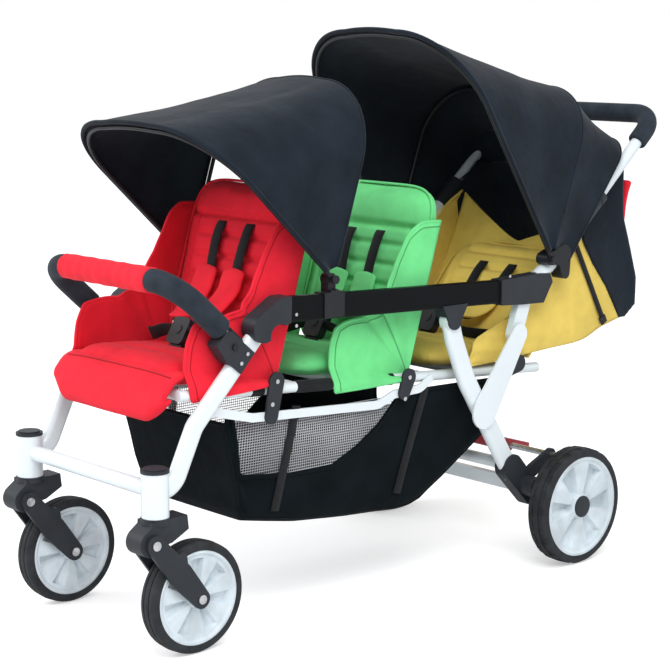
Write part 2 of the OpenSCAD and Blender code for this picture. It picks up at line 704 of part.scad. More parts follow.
module backrest(k, lean, length, half_w, wing, foot, setback) {
    h = back_hinges[k];
    lug_x0 = plate_x0 - body_gap - lug_t;
    lug_top = 46;
    pad_offset = 12;
    tilted(h, -lean) translate([0, setback, 0]) backrest_pad(length, half_w, wing, foot);
    difference() {
        both_sides() tilted(h, -lean) translate([lug_x0, 0, 0]) rotate([90, 0, 90]) linear_extrude(lug_t)
            link([0, 0], 11, [pad_offset, lug_top], 9);
        both_sides() bar(h, lug_x0 - 5, lug_x0 + lug_t + 5, hinge_pin_r + slip);
    }
    tilted(h, -lean) translate([-lug_x0 - lug_t, pad_offset, lug_top]) rotate([0, 90, 0])
        cylinder(h = 2 * (lug_x0 + lug_t), r = 6);
}
module front_backrest() { color(red) backrest(0, back_lean, back_l, seat_half_w - 2, 66, 22, 29); }
module middle_backrest() { color(green) backrest(1, back_lean, back_l, seat_half_w - 2, 66, 22, 29); }
module rear_backrest() { color(yellow) backrest(2, rear_back_lean, 296, seat_half_w - 8, 16, 40, 16); }

// Rear seat tub and the black panel behind it
tub_x = 181;
panel_seam = [[470, 1200], [520, 1170], [596, 1128], [648, 1094], [700, 1098], [730, 1112], [786, 1176]];
tub_floor = [[855, 418], [1005, 431], [1180, 458], [1200, 463]];
tub_top = concat([[960, 585]], [for (p = flip(panel_seam)) if (p[0] <= 648) [p[1] - 2 * seat_gap, p[0]]]);
function tub_section(d, low, high, t) = let (r = 16, x = tub_x - t, z = low + t) concat(
    [[x, high], [x, z + r]], [for (a = [0 : 30 : 90]) [x - r + r * cos(a), z + r - r * sin(a)]],
    [for (a = [90 : -30 : 0]) [-x + r - r * cos(a), z + r - r * sin(a)]], [[-x, z + r], [-x, high]]);
module rear_seat_tub() {
    stations = concat([1000, 1022, 1045, 1068], [for (i = [3 : -1 : 1]) panel_seam[i][1] - 2 * seat_gap], [1186]);
    color(yellow) loft([for (d = stations) let (low = chain(tub_floor, d), high = max(chain(tub_top, d), low + 24),
        sway = 2 * sin(d * 4))
        [for (p = concat(tub_section(d, low, high, cloth_t), flip(tub_section(d, low, high, 0))))
            side_point(p[0] + sign(p[0]) * min(0, sway - 2), [d, p[1]])]], true);
}
panel_rear = [[470, 1262], [501, 1284], [568, 1266], [677, 1240], [751, 1222], [786, 1214]];
function panel_section(z, t) = let (x = tub_x - t, near = chain(panel_seam, z), far = chain(panel_rear, z) - t, r = 22)
    concat([[x, near], [x, far - r]], [for (a = [0 : 30 : 90]) [x - r + r * cos(a), far - r + r * sin(a)]],
        [for (a = [90 : -30 : 0]) [-x + r - r * cos(a), far - r + r * sin(a)]], [[-x, far - r], [-x, near]]);
module rear_back_panel() {
    heights = [480, 501, 520, 568, 596, 648, 677, 714, 751, 786];
    color(black) loft([for (z = heights)
        [for (p = concat(panel_section(z, cloth_t), flip(panel_section(z, 0)))) side_point(p[0], [p[1], z])]], true);
    color(black) translate([-tub_x + 4, stem_y + 1196, 484]) cube([2 * tub_x - 8, 72, cloth_t]);
    color(black) both_sides() plate(tub_x - cloth_t, collar_in_x - seat_gap - tub_x + cloth_t)
        translate([1120, 722]) square([14, 18]);
}
collar_in_x = rail_x - upright_d / 2 - collar_lip_t;
module rear_tab() {
    head_r = 11;
    tail_r = 4;
    lean = atan2(chain(panel_rear, 694) - chain(panel_rear, 750), 56);
    function behind(z, r) = [chain(panel_rear, z), z] + (r + seat_gap) * [cos(lean), sin(lean)];
    color(red) plate(tub_x - 32, 8) link(behind(750, head_r), head_r, behind(694, tail_r), tail_r);
}

// Basket
basket_floor = [[60, 282], [130, 240], [217, 201], [335, basket_floor_z + 12], [550, basket_floor_z],
    [672, basket_floor_z + 12], [722, 224], [812, 292], [850, 330]];
basket_rim = concat([[60, 424]], [for (i = [0 : 4]) seat_bar_path[i]], [[850, 386]]);
function basket_section(d, t) = let (x = seat_bar_x - seat_bar_t / 2 - seat_gap - t, z = chain(basket_floor, d) + t,
        rim = chain(basket_rim, d), r = 26, h = min(r, (rim - z) * 0.6), sway = 2.5 * sin(d * 3)) concat(
    [[x, rim], [x, rim - 14], [x + sway - 2.5, mix(rim - 14, z + h, 0.5)]],
    [for (a = [0 : 30 : 90]) [x - r + r * cos(a), z + h * (1 - sin(a))]],
    [for (a = [90 : -30 : 0]) [-x + r - r * cos(a), z + h * (1 - sin(a))]],
    [[-x - sway + 2.5, mix(rim - 14, z + h, 0.5)], [-x, rim - 14], [-x, rim]]);
module basket() {
    stations = [for (d = [66 : 41 : 845]) d];
    color(black) loft([for (d = stations)
        [for (p = concat(basket_section(d, cloth_t), flip(basket_section(d, 0)))) side_point(p[0], [d, p[1]])]], true);
    color(black) translate([0, stem_y + 66, 0]) rotate([90, 0, 0]) linear_extrude(cloth_t)
        polygon(basket_section(66, 0));
}

// Canopies: bows with straight legs and a round top, and cloth stretched straight from bow to bow
front_bow_x = 214;
front_back_bow_x = 204;
rear_bow_x = 231;
rear_back_bow_x = 221;
front_bow_angle = 136;
front_back_bow_angle = 77;
rear_bow_angle = 123;
rear_back_bow_angle = 72;
rear_edge_angle = 44;
bow_bend_r = 105;
bow_foot = 12;
eye_r = 8;
pin_r = 4;
module bow(p, angle, half_w, reach) {
    tilted(p, angle) bent_tube(u_path(half_w, bow_foot, reach - bow_d / 2), bow_bend_r) circle(bow_d / 2);
}
module pivot_bow(p, angle, half_w, reach) {
    difference() {
        union() {
            bow(p, angle, half_w, reach);
            both_sides() bar(p, half_w - bow_d / 2, half_w + bow_d / 2, eye_r);
            both_sides() tilted(p, angle) translate([half_w, 0, 0]) rotate([-90, 0, 0])
                cylinder(h = bow_foot + 1, d = bow_d);
        }
        both_sides() bar(p, half_w - bow_d, half_w + bow_d, pin_r + slip);
    }
}
module front_canopy_bow() { color(black) pivot_bow(front_clip, front_bow_angle, front_bow_x, front_bow_reach); }
module rear_canopy_bow() { color(black) pivot_bow(rear_clip, rear_bow_angle, rear_bow_x, rear_bow_reach); }
module canopy_rear_bows() {
    color(black) bow(front_clip, front_back_bow_angle, front_back_bow_x, front_back_bow_reach);
    color(black) bow(rear_clip, rear_back_bow_angle, rear_back_bow_x, rear_back_bow_reach);
}
module canopy_clips() {
    clip_gap = 0.2;
    color(black) both_sides() {
        difference() {
            union() {
                plate(rail_x - rail_t / 2 - 3, rail_t + 6) {
                    translate([front_clip[0] - 24, rail_z(front_clip[0]) - 20]) square([48, 40 + 6]);
                    translate([front_clip[0] - 9, rail_z(front_clip[0])]) square([18, front_clip[1] - rail_z(front_clip[0])]);
                    translate(front_clip) circle(11);
                }
                bar(front_clip, rail_x, front_bow_x + bow_d / 2 + 2, pin_r);
                bar(front_clip, front_bow_x + bow_d / 2 + clip_gap, front_bow_x + bow_d / 2 + 4, eye_r);
            }
            side(rail_x) run(rail_front, rail_rear) rounded_box(rail_h + 2 * seat_gap, rail_t + 2 * seat_gap, 5);
            bar(front_clip, front_bow_x - bow_d / 2 - clip_gap, front_bow_x + bow_d / 2 + clip_gap, 20);
            tilted(front_clip, front_back_bow_angle) translate([front_back_bow_x, bow_foot, 0]) rotate([-90, 0, 0])
                cylinder(h = 30, d = bow_d + 2 * slip);
        }
        bar(front_clip, front_bow_x - bow_d / 2 - 2, front_bow_x + bow_d / 2 + 2, pin_r);
        rear_canopy_clip(clip_gap);
    }
}
module rear_canopy_clip(clip_gap) {
    pin_x0 = rear_bow_x - bow_d / 2 - clip_gap;
    difference() {
        union() {
            plate(rail_x - 6, pin_x0 - rail_x + 6) {
                link(rear_clip, 12, [bend_d + 20, bend_z + 22], 20);
                link([bend_d + 20, bend_z + 22], 20, [1006, 588], 12);
            }
            bar(rear_clip, rear_bow_x - bow_d, rear_bow_x + bow_d / 2 + 2, pin_r);
            bar(rear_clip, rear_bow_x + bow_d / 2 + clip_gap, rear_bow_x + bow_d / 2 + 4, eye_r);
        }
        upright_runs(4 * seat_gap);
        tilted(rear_clip, rear_back_bow_angle) translate([rear_back_bow_x, bow_foot, 0]) rotate([-90, 0, 0])
            cylinder(h = 40, d = bow_d + 2 * slip);
    }
}
// Points of an arch over a bow, from its left foot to its right foot
function arch(p, angle, half_w, reach, foot, r) = let (steps = 5) [for (q = concat(
        [[half_w, foot], [half_w, mix(foot, reach - r, 0.5)]],
        [for (i = [0 : steps]) let (a = 90 * i / steps) [half_w - r + r * cos(a), reach - r + r * sin(a)]],
        [for (i = [0 : steps]) let (a = 90 + 90 * i / steps) [-half_w + r + r * cos(a), reach - r + r * sin(a)]],
        [[-half_w, mix(foot, reach - r, 0.5)], [-half_w, foot]]))
    side_point(q[0], p + q[1] * [cos(angle), sin(angle)])];
function cloth_ring(p, angle, half_w, reach, foot) = concat(
    arch(p, angle, half_w, reach, foot, bow_bend_r),
    flip(arch(p, angle, half_w + cloth_t, reach + cloth_t, foot, bow_bend_r + cloth_t)));
function ring_mix(a, b, s) = [for (i = [0 : len(a) - 1]) mix(a[i], b[i], s)];
front_canopy_x = front_bow_x + bow_d / 2 + 4.4;
rear_canopy_x = rear_bow_x + bow_d / 2 + 4.4;
cloth_foot = 26;
hem = 10;
// Where the cloth passes over a bow: outside it, square to the stretch of cloth
function over(a, b, c) = let (u = unit(b - a), v = unit(c - b), m = unit(u + v))
    b + (bow_d / 2 + seat_gap) / (m * v) * [m[1], -m[0]];
function bow_top(p, angle, reach) = p + (reach - bow_d / 2) * [cos(angle), sin(angle)];
function ring_at(p, q, half_w) = cloth_ring(p, atan2(q[1] - p[1], q[0] - p[0]), half_w, norm(q - p), cloth_foot);
module front_canopy() {
    b = bow_top(front_clip, front_back_bow_angle, front_back_bow_reach);
    l = bow_top(front_clip, front_bow_angle, front_bow_reach);
    u = unit(l - b);
    back = ring_at(front_clip, over(b - u, b, l) - hem * u, front_canopy_x);
    lip = ring_at(front_clip, over(b, l, l + u) + hem * u, front_canopy_x);
    color(black) loft([back, ring_mix(back, lip, 0.25), ring_mix(back, lip, 0.5), ring_mix(back, lip, 0.75), lip], true);
}
module rear_canopy() {
    e = rear_clip + 300 * [cos(rear_edge_angle), sin(rear_edge_angle)];
    b = bow_top(rear_clip, rear_back_bow_angle, rear_back_bow_reach);
    l = bow_top(rear_clip, rear_bow_angle, rear_bow_reach);
    edge = ring_at(rear_clip, e, rear_canopy_x);
    back = ring_at(rear_clip, over(e, b, l), rear_canopy_x);
    lip = ring_at(rear_clip, over(b, l, l + unit(l - b)) + hem * unit(l - b), rear_canopy_x);
    color(black) loft([edge, ring_mix(edge, back, 0.5), back, ring_mix(back, lip, 0.25), ring_mix(back, lip, 0.5),
        ring_mix(back, lip, 0.75), lip], true);
}

// Harness buckles on the cushions, each with a round push button
buckle_w = 46;
buckle_t = 18;
buckle_back = 92;
button_r = 9;
buckle_tilt = 60;
buckle_gap = 1.3;
tongue = [-3, -12];
function buckle_spot(k) = let (d = back_hinges[k][0] - buckle_back,
        low = [tongue[0] * cos(buckle_tilt) - tongue[1] * sin(buckle_tilt),
            tongue[0] * sin(buckle_tilt) + tongue[1] * cos(buckle_tilt)],
        v = 2 * (d + low[0] - cushion_fronts[k]) / (cushion_backs[k] - cushion_fronts[k]) - 1)
    [d, seat_rail_z(d + low[0]) + seat_rail_d / 2 + cushion_lift + cushion_top(0, v) + buckle_gap - low[1]];
module at_buckle(k) { tilted(buckle_spot(k), buckle_tilt) children(); }
module harness_buckles() {
    color(black) for (k = [0 : 2]) at_buckle(k) difference() {
        union() {
            translate([0, 30, -buckle_t]) linear_extrude(buckle_t) rounded_box(buckle_w, 52, 10);
            translate([-17, tongue[0], tongue[1]]) cube([34, 20, 4]);
        }
        translate([0, 32, -7]) cylinder(h = 20, r = button_r + slip);
    }
}
module buckle_button(k) { color(red) at_buckle(k) translate([0, 32, -4]) cylinder(h = 5.5, r = button_r); }
module front_buckle_button() { buckle_button(0); }
module middle_buckle_button() { buckle_button(1); }
module rear_buckle_button() { buckle_button(2); }

// Rear legs
module rear_leg_shape(extra) { side(rail_x) bent_tube(rear_leg_path, 160) flat_oval(rear_leg_w + extra, rear_leg_t + extra); }
brace_x0 = rail_x + arm_t / 2 + 4;
module rear_legs() {
    color(white) both_sides() difference() {
        union() {
            rear_leg_shape(0);
            plate(rail_x - rear_leg_t / 2 + 0.5, rear_leg_t - 1) translate(leg_pivot) circle(rear_leg_w / 2 - 0.5);
            bar(brace_pivot, rail_x, brace_x0 - seat_gap, 14);
            bar(brace_pivot, rail_x, brace_x0 + brace_t, fold_pin_d / 2);
        }
        bar(leg_pivot, rail_x - 40, rail_x + 40, fold_pin_d / 2 + slip);
    }
}
wheel_bracket_x1 = rear_wheel_x - rear_tyre_w / 2 - 3;
module wheel_brackets() {
    x0 = rail_x - rear_leg_t / 2 - 4;
    foot = rear_leg_path[3];
    color(black) both_sides() {
        difference() {
            union() {
                plate(x0, rear_leg_t + 8) link(foot + [-8, 16], 26, foot + [52, -48], 24);
                plate(x0 + rear_leg_t, wheel_bracket_x1 - x0 - rear_leg_t) link(foot + [30, -26], 20, rear_axle, 20);
                plate(x0 + rear_leg_t, 9) link(foot + [50, 0], 14, brake_axis, 13);
            }
            rear_leg_shape(0.4);
            bar(brake_axis, x0 - 10, wheel_bracket_x1 + 10, 6 + slip);
        }
        bar(rear_axle, wheel_bracket_x1 - 12, rear_wheel_face_x, axle_r);
    }
}
module rear_cross_tubes() {
    half = rail_x - rear_leg_t / 2 - 4 - seat_gap;
    color("gainsboro") bar(cross_bar, -half, half, rear_cross_d / 2);
    color("gainsboro") translate([-half, stem_y + axle_bar[0] - 8, axle_bar[1] - axle_bar_h / 2])
        cube([2 * half, 16, axle_bar_h]);
}
module brace_plates() {
    color(white) both_sides() difference() {
        plate(brace_x0, brace_t) link(brace_pivot, 33, knuckle, 21);
        bar(brace_pivot, brace_x0 - 1, brace_x0 + brace_t + 1, fold_pin_d / 2 + slip);
    }
}
module brace_arms() {
    color(white) both_sides() difference() {
        union() {
            plate(rail_x - arm_t / 2, arm_t) link(arm_pivot, arm_w / 2, knuckle, arm_w / 2 - 0.01);
            bar(knuckle, rail_x, brace_x0 - seat_gap, 9);
        }
        bar(arm_pivot, rail_x - arm_t, rail_x + arm_t, fold_pin_d / 2 + slip);
    }
}

// Brake
module brake_rod() {
    half = wheel_bracket_x1 - 4;
    color("silver") bar(brake_axis, -half, half, 6);
}
pedal_half = 64;
pedal_x = 40;
module brake_pedal() {
    ribs = 7;
    rib_r = 2.2;
    pad_r = 5;
    corner = 18;
    tip = [68, -13];
    heel = [4, 4];
    up = pad_r * 0.9 * unit([heel[1] - tip[1], tip[0] - heel[0]]);
    color(red) translate([pedal_x, 0, 0]) difference() {
        intersection() {
            union() {
                bar(brake_axis, -pedal_half - 1, pedal_half + 1, 13);
                plate(-pedal_half - 1, 2 * pedal_half + 2) link(brake_axis + heel, pad_r, brake_axis + tip, pad_r);
                for (k = [1 : ribs])
                    bar(brake_axis + mix(heel, tip, 0.18 + 0.8 * k / ribs) + up, 6 - pedal_half, pedal_half - 6, rib_r);
            }
            translate([0, stem_y + brake_axis[0] + tip[0] + pad_r - 60, 0]) linear_extrude(2 * brake_axis[1])
                rounded_box(2 * pedal_half, 120, corner);
        }
        bar(brake_axis, -pedal_half - 1, pedal_half + 1, 6 + slip);
    }
}

front_legs();
front_cross_tube();
head_tube_caps();
side_rails();
rail_elbows();
rail_connectors();
seat_rails();
seat_bars();
seat_cross_tubes();
recline_plates();
handle_uprights();
handle_collars();
leg_brackets();
bumper_brackets();
front_seat();
middle_seat();
rear_seat();
rear_seat_tub();
rear_back_panel();
rear_tab();
basket();
canopy_clips();
canopy_rear_bows();
front_canopy();
rear_canopy();
harness_buckles();
rear_legs();
wheel_brackets();
rear_cross_tubes();
brace_plates();
brace_arms();
rear_tyre_left();
rear_tyre_right();
rear_rim_left();
rear_rim_right();
brake_rod();
brake_pedal();
caster_housing_left();
caster_housing_right();
fork_left();
fork_right();
front_tyre_left();
front_tyre_right();
front_rim_left();
front_rim_right();
push_handle();
handle_grip();
bumper_bar();
bumper_pads();
bumper_sleeve();
front_backrest();
middle_backrest();
rear_backrest();
front_canopy_bow();
rear_canopy_bow();
bumper_button_left();
bumper_button_right();
front_buckle_button();
middle_buckle_button();
rear_buckle_button();
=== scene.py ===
import json
import math

import bmesh
import bpy
from mathutils import Matrix, Vector, noise


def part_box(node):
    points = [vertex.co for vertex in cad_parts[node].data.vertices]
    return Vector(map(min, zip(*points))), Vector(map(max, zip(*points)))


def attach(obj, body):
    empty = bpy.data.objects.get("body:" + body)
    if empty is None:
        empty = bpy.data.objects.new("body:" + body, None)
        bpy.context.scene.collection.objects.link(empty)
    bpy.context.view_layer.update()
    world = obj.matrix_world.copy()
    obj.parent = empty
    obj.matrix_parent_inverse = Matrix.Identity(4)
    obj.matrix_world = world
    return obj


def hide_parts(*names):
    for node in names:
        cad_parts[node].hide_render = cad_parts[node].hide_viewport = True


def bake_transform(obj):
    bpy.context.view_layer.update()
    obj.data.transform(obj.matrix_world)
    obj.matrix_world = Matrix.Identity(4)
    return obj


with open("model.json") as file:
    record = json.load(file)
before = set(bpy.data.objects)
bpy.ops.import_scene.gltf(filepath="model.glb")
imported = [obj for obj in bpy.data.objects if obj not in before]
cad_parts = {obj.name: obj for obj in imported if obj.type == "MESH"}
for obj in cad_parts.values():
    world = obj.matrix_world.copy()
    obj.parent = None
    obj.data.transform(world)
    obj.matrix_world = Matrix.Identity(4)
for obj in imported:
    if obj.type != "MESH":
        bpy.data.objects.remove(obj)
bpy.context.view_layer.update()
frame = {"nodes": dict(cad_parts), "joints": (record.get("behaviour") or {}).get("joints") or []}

MM = 0.001
joints = {joint["name"]: joint for joint in frame["joints"]}
STEM_Y = joints["caster_swivel_left"]["pos_m"][1]


def at(x, d, z):
    """A point given in millimetres: across, behind the caster stems, above the ground."""
    return Vector((x * MM, STEM_Y + d * MM, z * MM))


def child_joint(body):
    """The place of the joint that carries a body."""
    return Vector(next(joint["pos_m"] for joint in frame["joints"] if joint["child"] == body))


def mix(a, b, s):
    return a * (1 - s) + b * s


def chain(points, s):
    """The value at s along a list of (station, value) pairs."""
    for (s0, v0), (s1, v1) in zip(points, points[1:]):
        if s <= s1:
            break
    return mix(v0, v1, min(max((s - s0) / (s1 - s0), 0), 1))


def bump_at(s, centre, width):
    return math.exp(-((s - centre) / width) ** 2)


def sloped(power, value):
    """A signed power, for rounded boxes and flattened arches."""
    return math.copysign(abs(value) ** power, value)


# Camera

CAMERA_AT = Vector((2.566, STEM_Y - 1.747006, 1.059))
CAMERA_AZIMUTH = math.radians(47.752)
CAMERA_ELEVATION = math.radians(9.512)
CAMERA_ROLL = math.radians(0.2549)
CAMERA_LENS = 96.13


def make_camera():
    data = bpy.data.cameras.new("camera")
    data.lens = CAMERA_LENS
    data.sensor_width = 36
    data.sensor_fit = "HORIZONTAL"
    camera = bpy.data.objects.new("camera", data)
    bpy.context.scene.collection.objects.link(camera)
    across = Vector((math.cos(CAMERA_AZIMUTH), math.sin(CAMERA_AZIMUTH), 0))
    flat = math.cos(CAMERA_ELEVATION)
    back = Vector((across.y * flat, -across.x * flat, math.sin(CAMERA_ELEVATION)))
    up = back.cross(across)
    turn_c, turn_s = math.cos(CAMERA_ROLL), math.sin(CAMERA_ROLL)
    axes = Matrix((turn_c * across + turn_s * up, turn_c * up - turn_s * across, back)).transposed()
    camera.matrix_world = Matrix.Translation(CAMERA_AT) @ axes.to_4x4()
    bpy.context.scene.camera = camera


make_camera()


# Materials


class Finish:
    """A principled material with the few texture helpers that the finishes share."""

    def __init__(self, name):
        self.material = bpy.data.materials.new(name)
        self.material.use_nodes = True
        self.nodes = self.material.node_tree.nodes
        self.links = self.material.node_tree.links
        self.shader = self.nodes["Principled BSDF"]

    def set(self, **values):
        for socket, value in values.items():
            self.shader.inputs[socket.replace("_", " ")].default_value = value

    def coordinates(self, kind):
        node = self.nodes.new("ShaderNodeTexCoord")
        return node.outputs[kind]

    def noise(self, scale, detail=4):
        node = self.nodes.new("ShaderNodeTexNoise")
        node.inputs["Scale"].default_value = scale
        node.inputs["Detail"].default_value = detail
        self.links.new(self.coordinates("Object"), node.inputs["Vector"])
        return node.outputs["Fac"]

    def ramp(self, value, stops):
        node = self.nodes.new("ShaderNodeValToRGB")
        for element, (position, colour) in zip(node.color_ramp.elements, stops):
            element.position = position
            element.color = (*colour, 1)
        self.links.new(value, node.inputs["Fac"])
        return node.outputs["Color"]

    def range(self, value, low, high):
        node = self.nodes.new("ShaderNodeMapRange")
        node.inputs["To Min"].default_value = low
        node.inputs["To Max"].default_value = high
        self.links.new(value, node.inputs["Value"])
        return node.outputs["Result"]

    def crossed(self, along, across):
        """Two sets of threads added together."""
        node = self.nodes.new("ShaderNodeMath")
        node.operation = "ADD"
        self.links.new(self.bands(along, "X"), node.inputs[0])
        self.links.new(self.bands(across, "Y"), node.inputs[1])
        return node.outputs[0]

    def bands(self, period, direction):
        node = self.nodes.new("ShaderNodeTexWave")
        node.wave_type = "BANDS"
        node.bands_direction = direction
        node.inputs["Scale"].default_value = 2 * math.pi / (20 * period)
        self.links.new(self.coordinates("UV"), node.inputs["Vector"])
        return node.outputs["Fac"]

    def bump(self, *layers):
        """Each layer is a height, a strength and a depth in metres."""
        normal = None
        for height, strength, depth in layers:
            node = self.nodes.new("ShaderNodeBump")
            node.inputs["Strength"].default_value = strength
            node.inputs["Distance"].default_value = depth
            self.links.new(height, node.inputs["Height"])
            if normal:
                self.links.new(normal, node.inputs["Normal"])
            normal = node.outputs["Normal"]
        self.links.new(normal, self.shader.inputs["Normal"])

    def colour(self, scale, dark, light, detail=4):
        value = self.ramp(self.noise(scale, detail), ((0.35, dark), (0.65, light)))
        self.links.new(value, self.shader.inputs["Base Color"])

    def rough(self, scale, low, high):
        value = self.range(self.noise(scale), low, high)
        self.links.new(value, self.shader.inputs["Roughness"])


def shade(colour, factor):
    return tuple(channel * factor for channel in colour)


THREAD = 1.7 * MM


def woven(name, colour, sheen=0.06, crease=0.35, spread=0.12, specular=0.14):
    """Woven polyester: crossed threads, soft creases and a little sheen."""
    finish = Finish(name)
    finish.colour(14, shade(colour, 1 - spread), shade(colour, 1 + spread / 2))
    finish.rough(60, 0.72, 0.9)
    finish.bump((finish.noise(26, 3), crease, 4 * MM), (finish.crossed(THREAD, THREAD), 0.25, 0.3 * MM))
    finish.set(Sheen_Weight=sheen, Sheen_Roughness=0.45, Specular_IOR_Level=specular)
    return finish.material


def moulded(name, colour, roughness=0.5, grain=900, depth=0.12 * MM):
    """Moulded plastic with a fine spark grain."""
    finish = Finish(name)
    finish.colour(20, shade(colour, 0.85), shade(colour, 1.12))
    finish.rough(45, roughness - 0.06, roughness + 0.08)
    finish.bump((finish.noise(grain, 2), 0.3, depth))
    finish.set(Specular_IOR_Level=0.28)
    return finish.material


def painted(name, colour, roughness, coat, specular=0.5):
    """Powder coat over metal: an orange-peel surface under a clear gloss."""
    finish = Finish(name)
    finish.colour(9, shade(colour, 0.965), colour)
    finish.rough(30, roughness - 0.05, roughness + 0.06)
    finish.bump((finish.noise(420, 2), 0.12, 0.2 * MM))
    finish.set(Coat_Weight=coat, Coat_Roughness=0.18, Specular_IOR_Level=specular)
    return finish.material


def foamed(name, colour):
    """Closed-cell foam: matt, with small open pits."""
    finish = Finish(name)
    finish.colour(30, shade(colour, 0.8), shade(colour, 1.25))
    finish.rough(80, 0.82, 0.95)
    finish.bump((finish.noise(700, 5), 0.5, 0.4 * MM), (finish.noise(60, 2), 0.2, 1.0 * MM))
    finish.set(Sheen_Weight=0.05, Specular_IOR_Level=0.15)
    return finish.material


def rubber(name, colour):
    finish = Finish(name)
    finish.colour(35, shade(colour, 0.7), shade(colour, 1.4))
    finish.rough(50, 0.62, 0.85)
    finish.bump((finish.noise(320, 4), 0.35, 0.4 * MM))
    finish.set(Specular_IOR_Level=0.25)
    return finish.material


def plated(name, colour):
    finish = Finish(name)
    finish.colour(60, shade(colour, 0.85), colour)
    finish.rough(90, 0.2, 0.38)
    finish.bump((finish.noise(500, 2), 0.1, 0.1 * MM))
    finish.set(Metallic=1.0)
    return finish.material


def webbing(name, colour):
    """Woven strap: close ribs across and a raised edge weave."""
    finish = Finish(name)
    finish.colour(40, shade(colour, 0.8), shade(colour, 1.3))
    finish.rough(60, 0.6, 0.8)
    finish.bump((finish.crossed(1.4 * MM, 2.2 * MM), 0.45, 0.5 * MM))
    finish.set(Sheen_Weight=0.06, Specular_IOR_Level=0.15)
    return finish.material


RED = (0.78, 0.018, 0.037)
GREEN = (0.165, 0.71, 0.255)
YELLOW = (0.77, 0.57, 0.125)
SOFT_BLACK = (0.0112, 0.0165, 0.0248)
# The basket's black is a darker copy of the soft black: painted shade for the basket under the seats.
BASKET_SHADE_BLACK = (0.0035, 0.0065, 0.0085)
BLACK = (0.008, 0.009, 0.011)
GREY = (0.020, 0.024, 0.030)
WHITE = (0.72, 0.785, 0.82)
RIM_WHITE = (0.60, 0.67, 0.715)
PEDAL_RED = (0.34, 0.02, 0.032)

red_cloth = woven("red_cloth", RED)
green_cloth = woven("green_cloth", GREEN)
# Half-bright copies of the seat cloths, for the thin lines along hems and creases: painted shade of sewn
# grooves.
red_seam_shade = woven("red_seam_shade", shade(RED, 0.5), crease=0.1)
green_seam_shade = woven("green_seam_shade", shade(GREEN, 0.5), crease=0.1)
yellow_cloth = woven("yellow_cloth", YELLOW)
yellow_seam_shade = woven("yellow_seam_shade", shade(YELLOW, 0.5), crease=0.1)
black_cloth = woven("black_cloth", SOFT_BLACK, sheen=0.1, crease=0.5, spread=0.25, specular=0.06)
basket_shade_black = woven("basket_shade_black", BASKET_SHADE_BLACK, sheen=0.03, crease=0.5, spread=0.25, specular=0.05)
net_cord = woven("net_cord", (0.6, 0.61, 0.63), crease=0.1)
strap_black = webbing("strap_black", BLACK)
white_paint = painted("white_paint", WHITE, 0.3, 0.4)
rail_paint = painted("rail_paint", shade(BLACK, 0.6), 0.36, 0.0, 0.07)
grey_plastic = moulded("grey_plastic", GREY)
black_plastic = moulded("black_plastic", shade(GREY, 0.5), 0.42)
white_plastic = moulded("white_plastic", RIM_WHITE, 0.34, 500, 0.06 * MM)
red_plastic = moulded("red_plastic", PEDAL_RED, 0.36, 600, 0.06 * MM)
black_foam = foamed("black_foam", (0.021, 0.028, 0.038))
tyre_rubber = rubber("tyre_rubber", (0.02, 0.022, 0.025))
bright_steel = plated("bright_steel", (0.62, 0.63, 0.65))

NODE_FINISHES = {
    white_paint: [
        "front_legs", "front_cross_tube", "seat_bars", "seat_cross_tubes", "handle_uprights",
        "rear_legs", "rear_cross_tubes", "brace_plates", "brace_arms", "push_handle",
    ],
    rail_paint: ["side_rails"],
    grey_plastic: [
        "rail_elbows", "rail_connectors", "handle_collars", "leg_brackets", "bumper_brackets",
        "recline_plates", "wheel_brackets", "head_tube_caps", "caster_housing_left",
        "caster_housing_right", "fork_left", "fork_right",
    ],
    black_plastic: [
        "canopy_clips", "harness_buckles", "bumper_button_left", "bumper_button_right",
        "front_buckle_button", "middle_buckle_button", "rear_buckle_button",
    ],
    tyre_rubber: ["rear_tyre_left", "rear_tyre_right", "front_tyre_left", "front_tyre_right"],
    bright_steel: ["brake_rod", "bumper_bar"],
    red_plastic: ["brake_pedal"],
}
for finish, names in NODE_FINISHES.items():
    for name in names:
        node = frame["nodes"][name]
        node.data.materials.clear()
        node.data.materials.append(finish)


# Mesh helpers

LEFT = Vector((1, 0, 0))
UP = Vector((0, 0, 1))
SIDES = ((1, "left"), (-1, "right"))
SHADE_ANGLE = math.radians(35)


def give(piece, body, slot, *nodes):
    """Let a piece ride on a body, in place of the nodes named; the slot is not used."""
    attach(piece, body)
    for node in nodes:
        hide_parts(node)


def spread(count):
    """Even shares from 0 to 1, both ends included."""
    return [k / count for k in range(count + 1)]


def lengths_along(points):
    total = [0]
    for a, b in zip(points, points[1:]):
        total.append(total[-1] + (b - a).length)
    return total


def stand(obj, place, axis, material):
    """Turn a piece that was made upright towards an axis and set it in its place."""
    turn = UP.rotation_difference(axis)
    obj.data.transform(Matrix.Translation(place) @ turn.to_matrix().to_4x4())
    obj.data.materials.append(material)
    only(obj)
    bpy.ops.object.shade_smooth_by_angle(angle=SHADE_ANGLE)


def cylinder(name, sides, radius, depth):
    bpy.ops.object.select_all(action="DESELECT")
    bpy.ops.mesh.primitive_cylinder_add(vertices=sides, radius=radius, depth=depth)
    made = bpy.context.active_object
    made.name = name
    return made


def only(obj):
    bpy.ops.object.select_all(action="DESELECT")
    obj.select_set(True)
    bpy.context.view_layer.objects.active = obj


def apply(obj, kind, **settings):
    """Add one modifier to a piece and apply it."""
    only(obj)
    modifier = obj.modifiers.new(kind.lower(), kind)
    for key, value in settings.items():
        setattr(modifier, key, value)
    bpy.ops.object.modifier_apply(modifier=modifier.name)


def mesh_piece(name, points, faces, material, uvs=None):
    mesh = bpy.data.meshes.new(name)
    mesh.from_pydata(points, [], faces)
    if uvs:
        layer = mesh.uv_layers.new(name="weave")
        for loop in mesh.loops:
            layer.data[loop.index].uv = uvs[loop.vertex_index]
    obj = bpy.data.objects.new(name, mesh)
    bpy.context.scene.collection.objects.link(obj)
    mesh.materials.append(material)
    mesh.shade_smooth()
    return obj


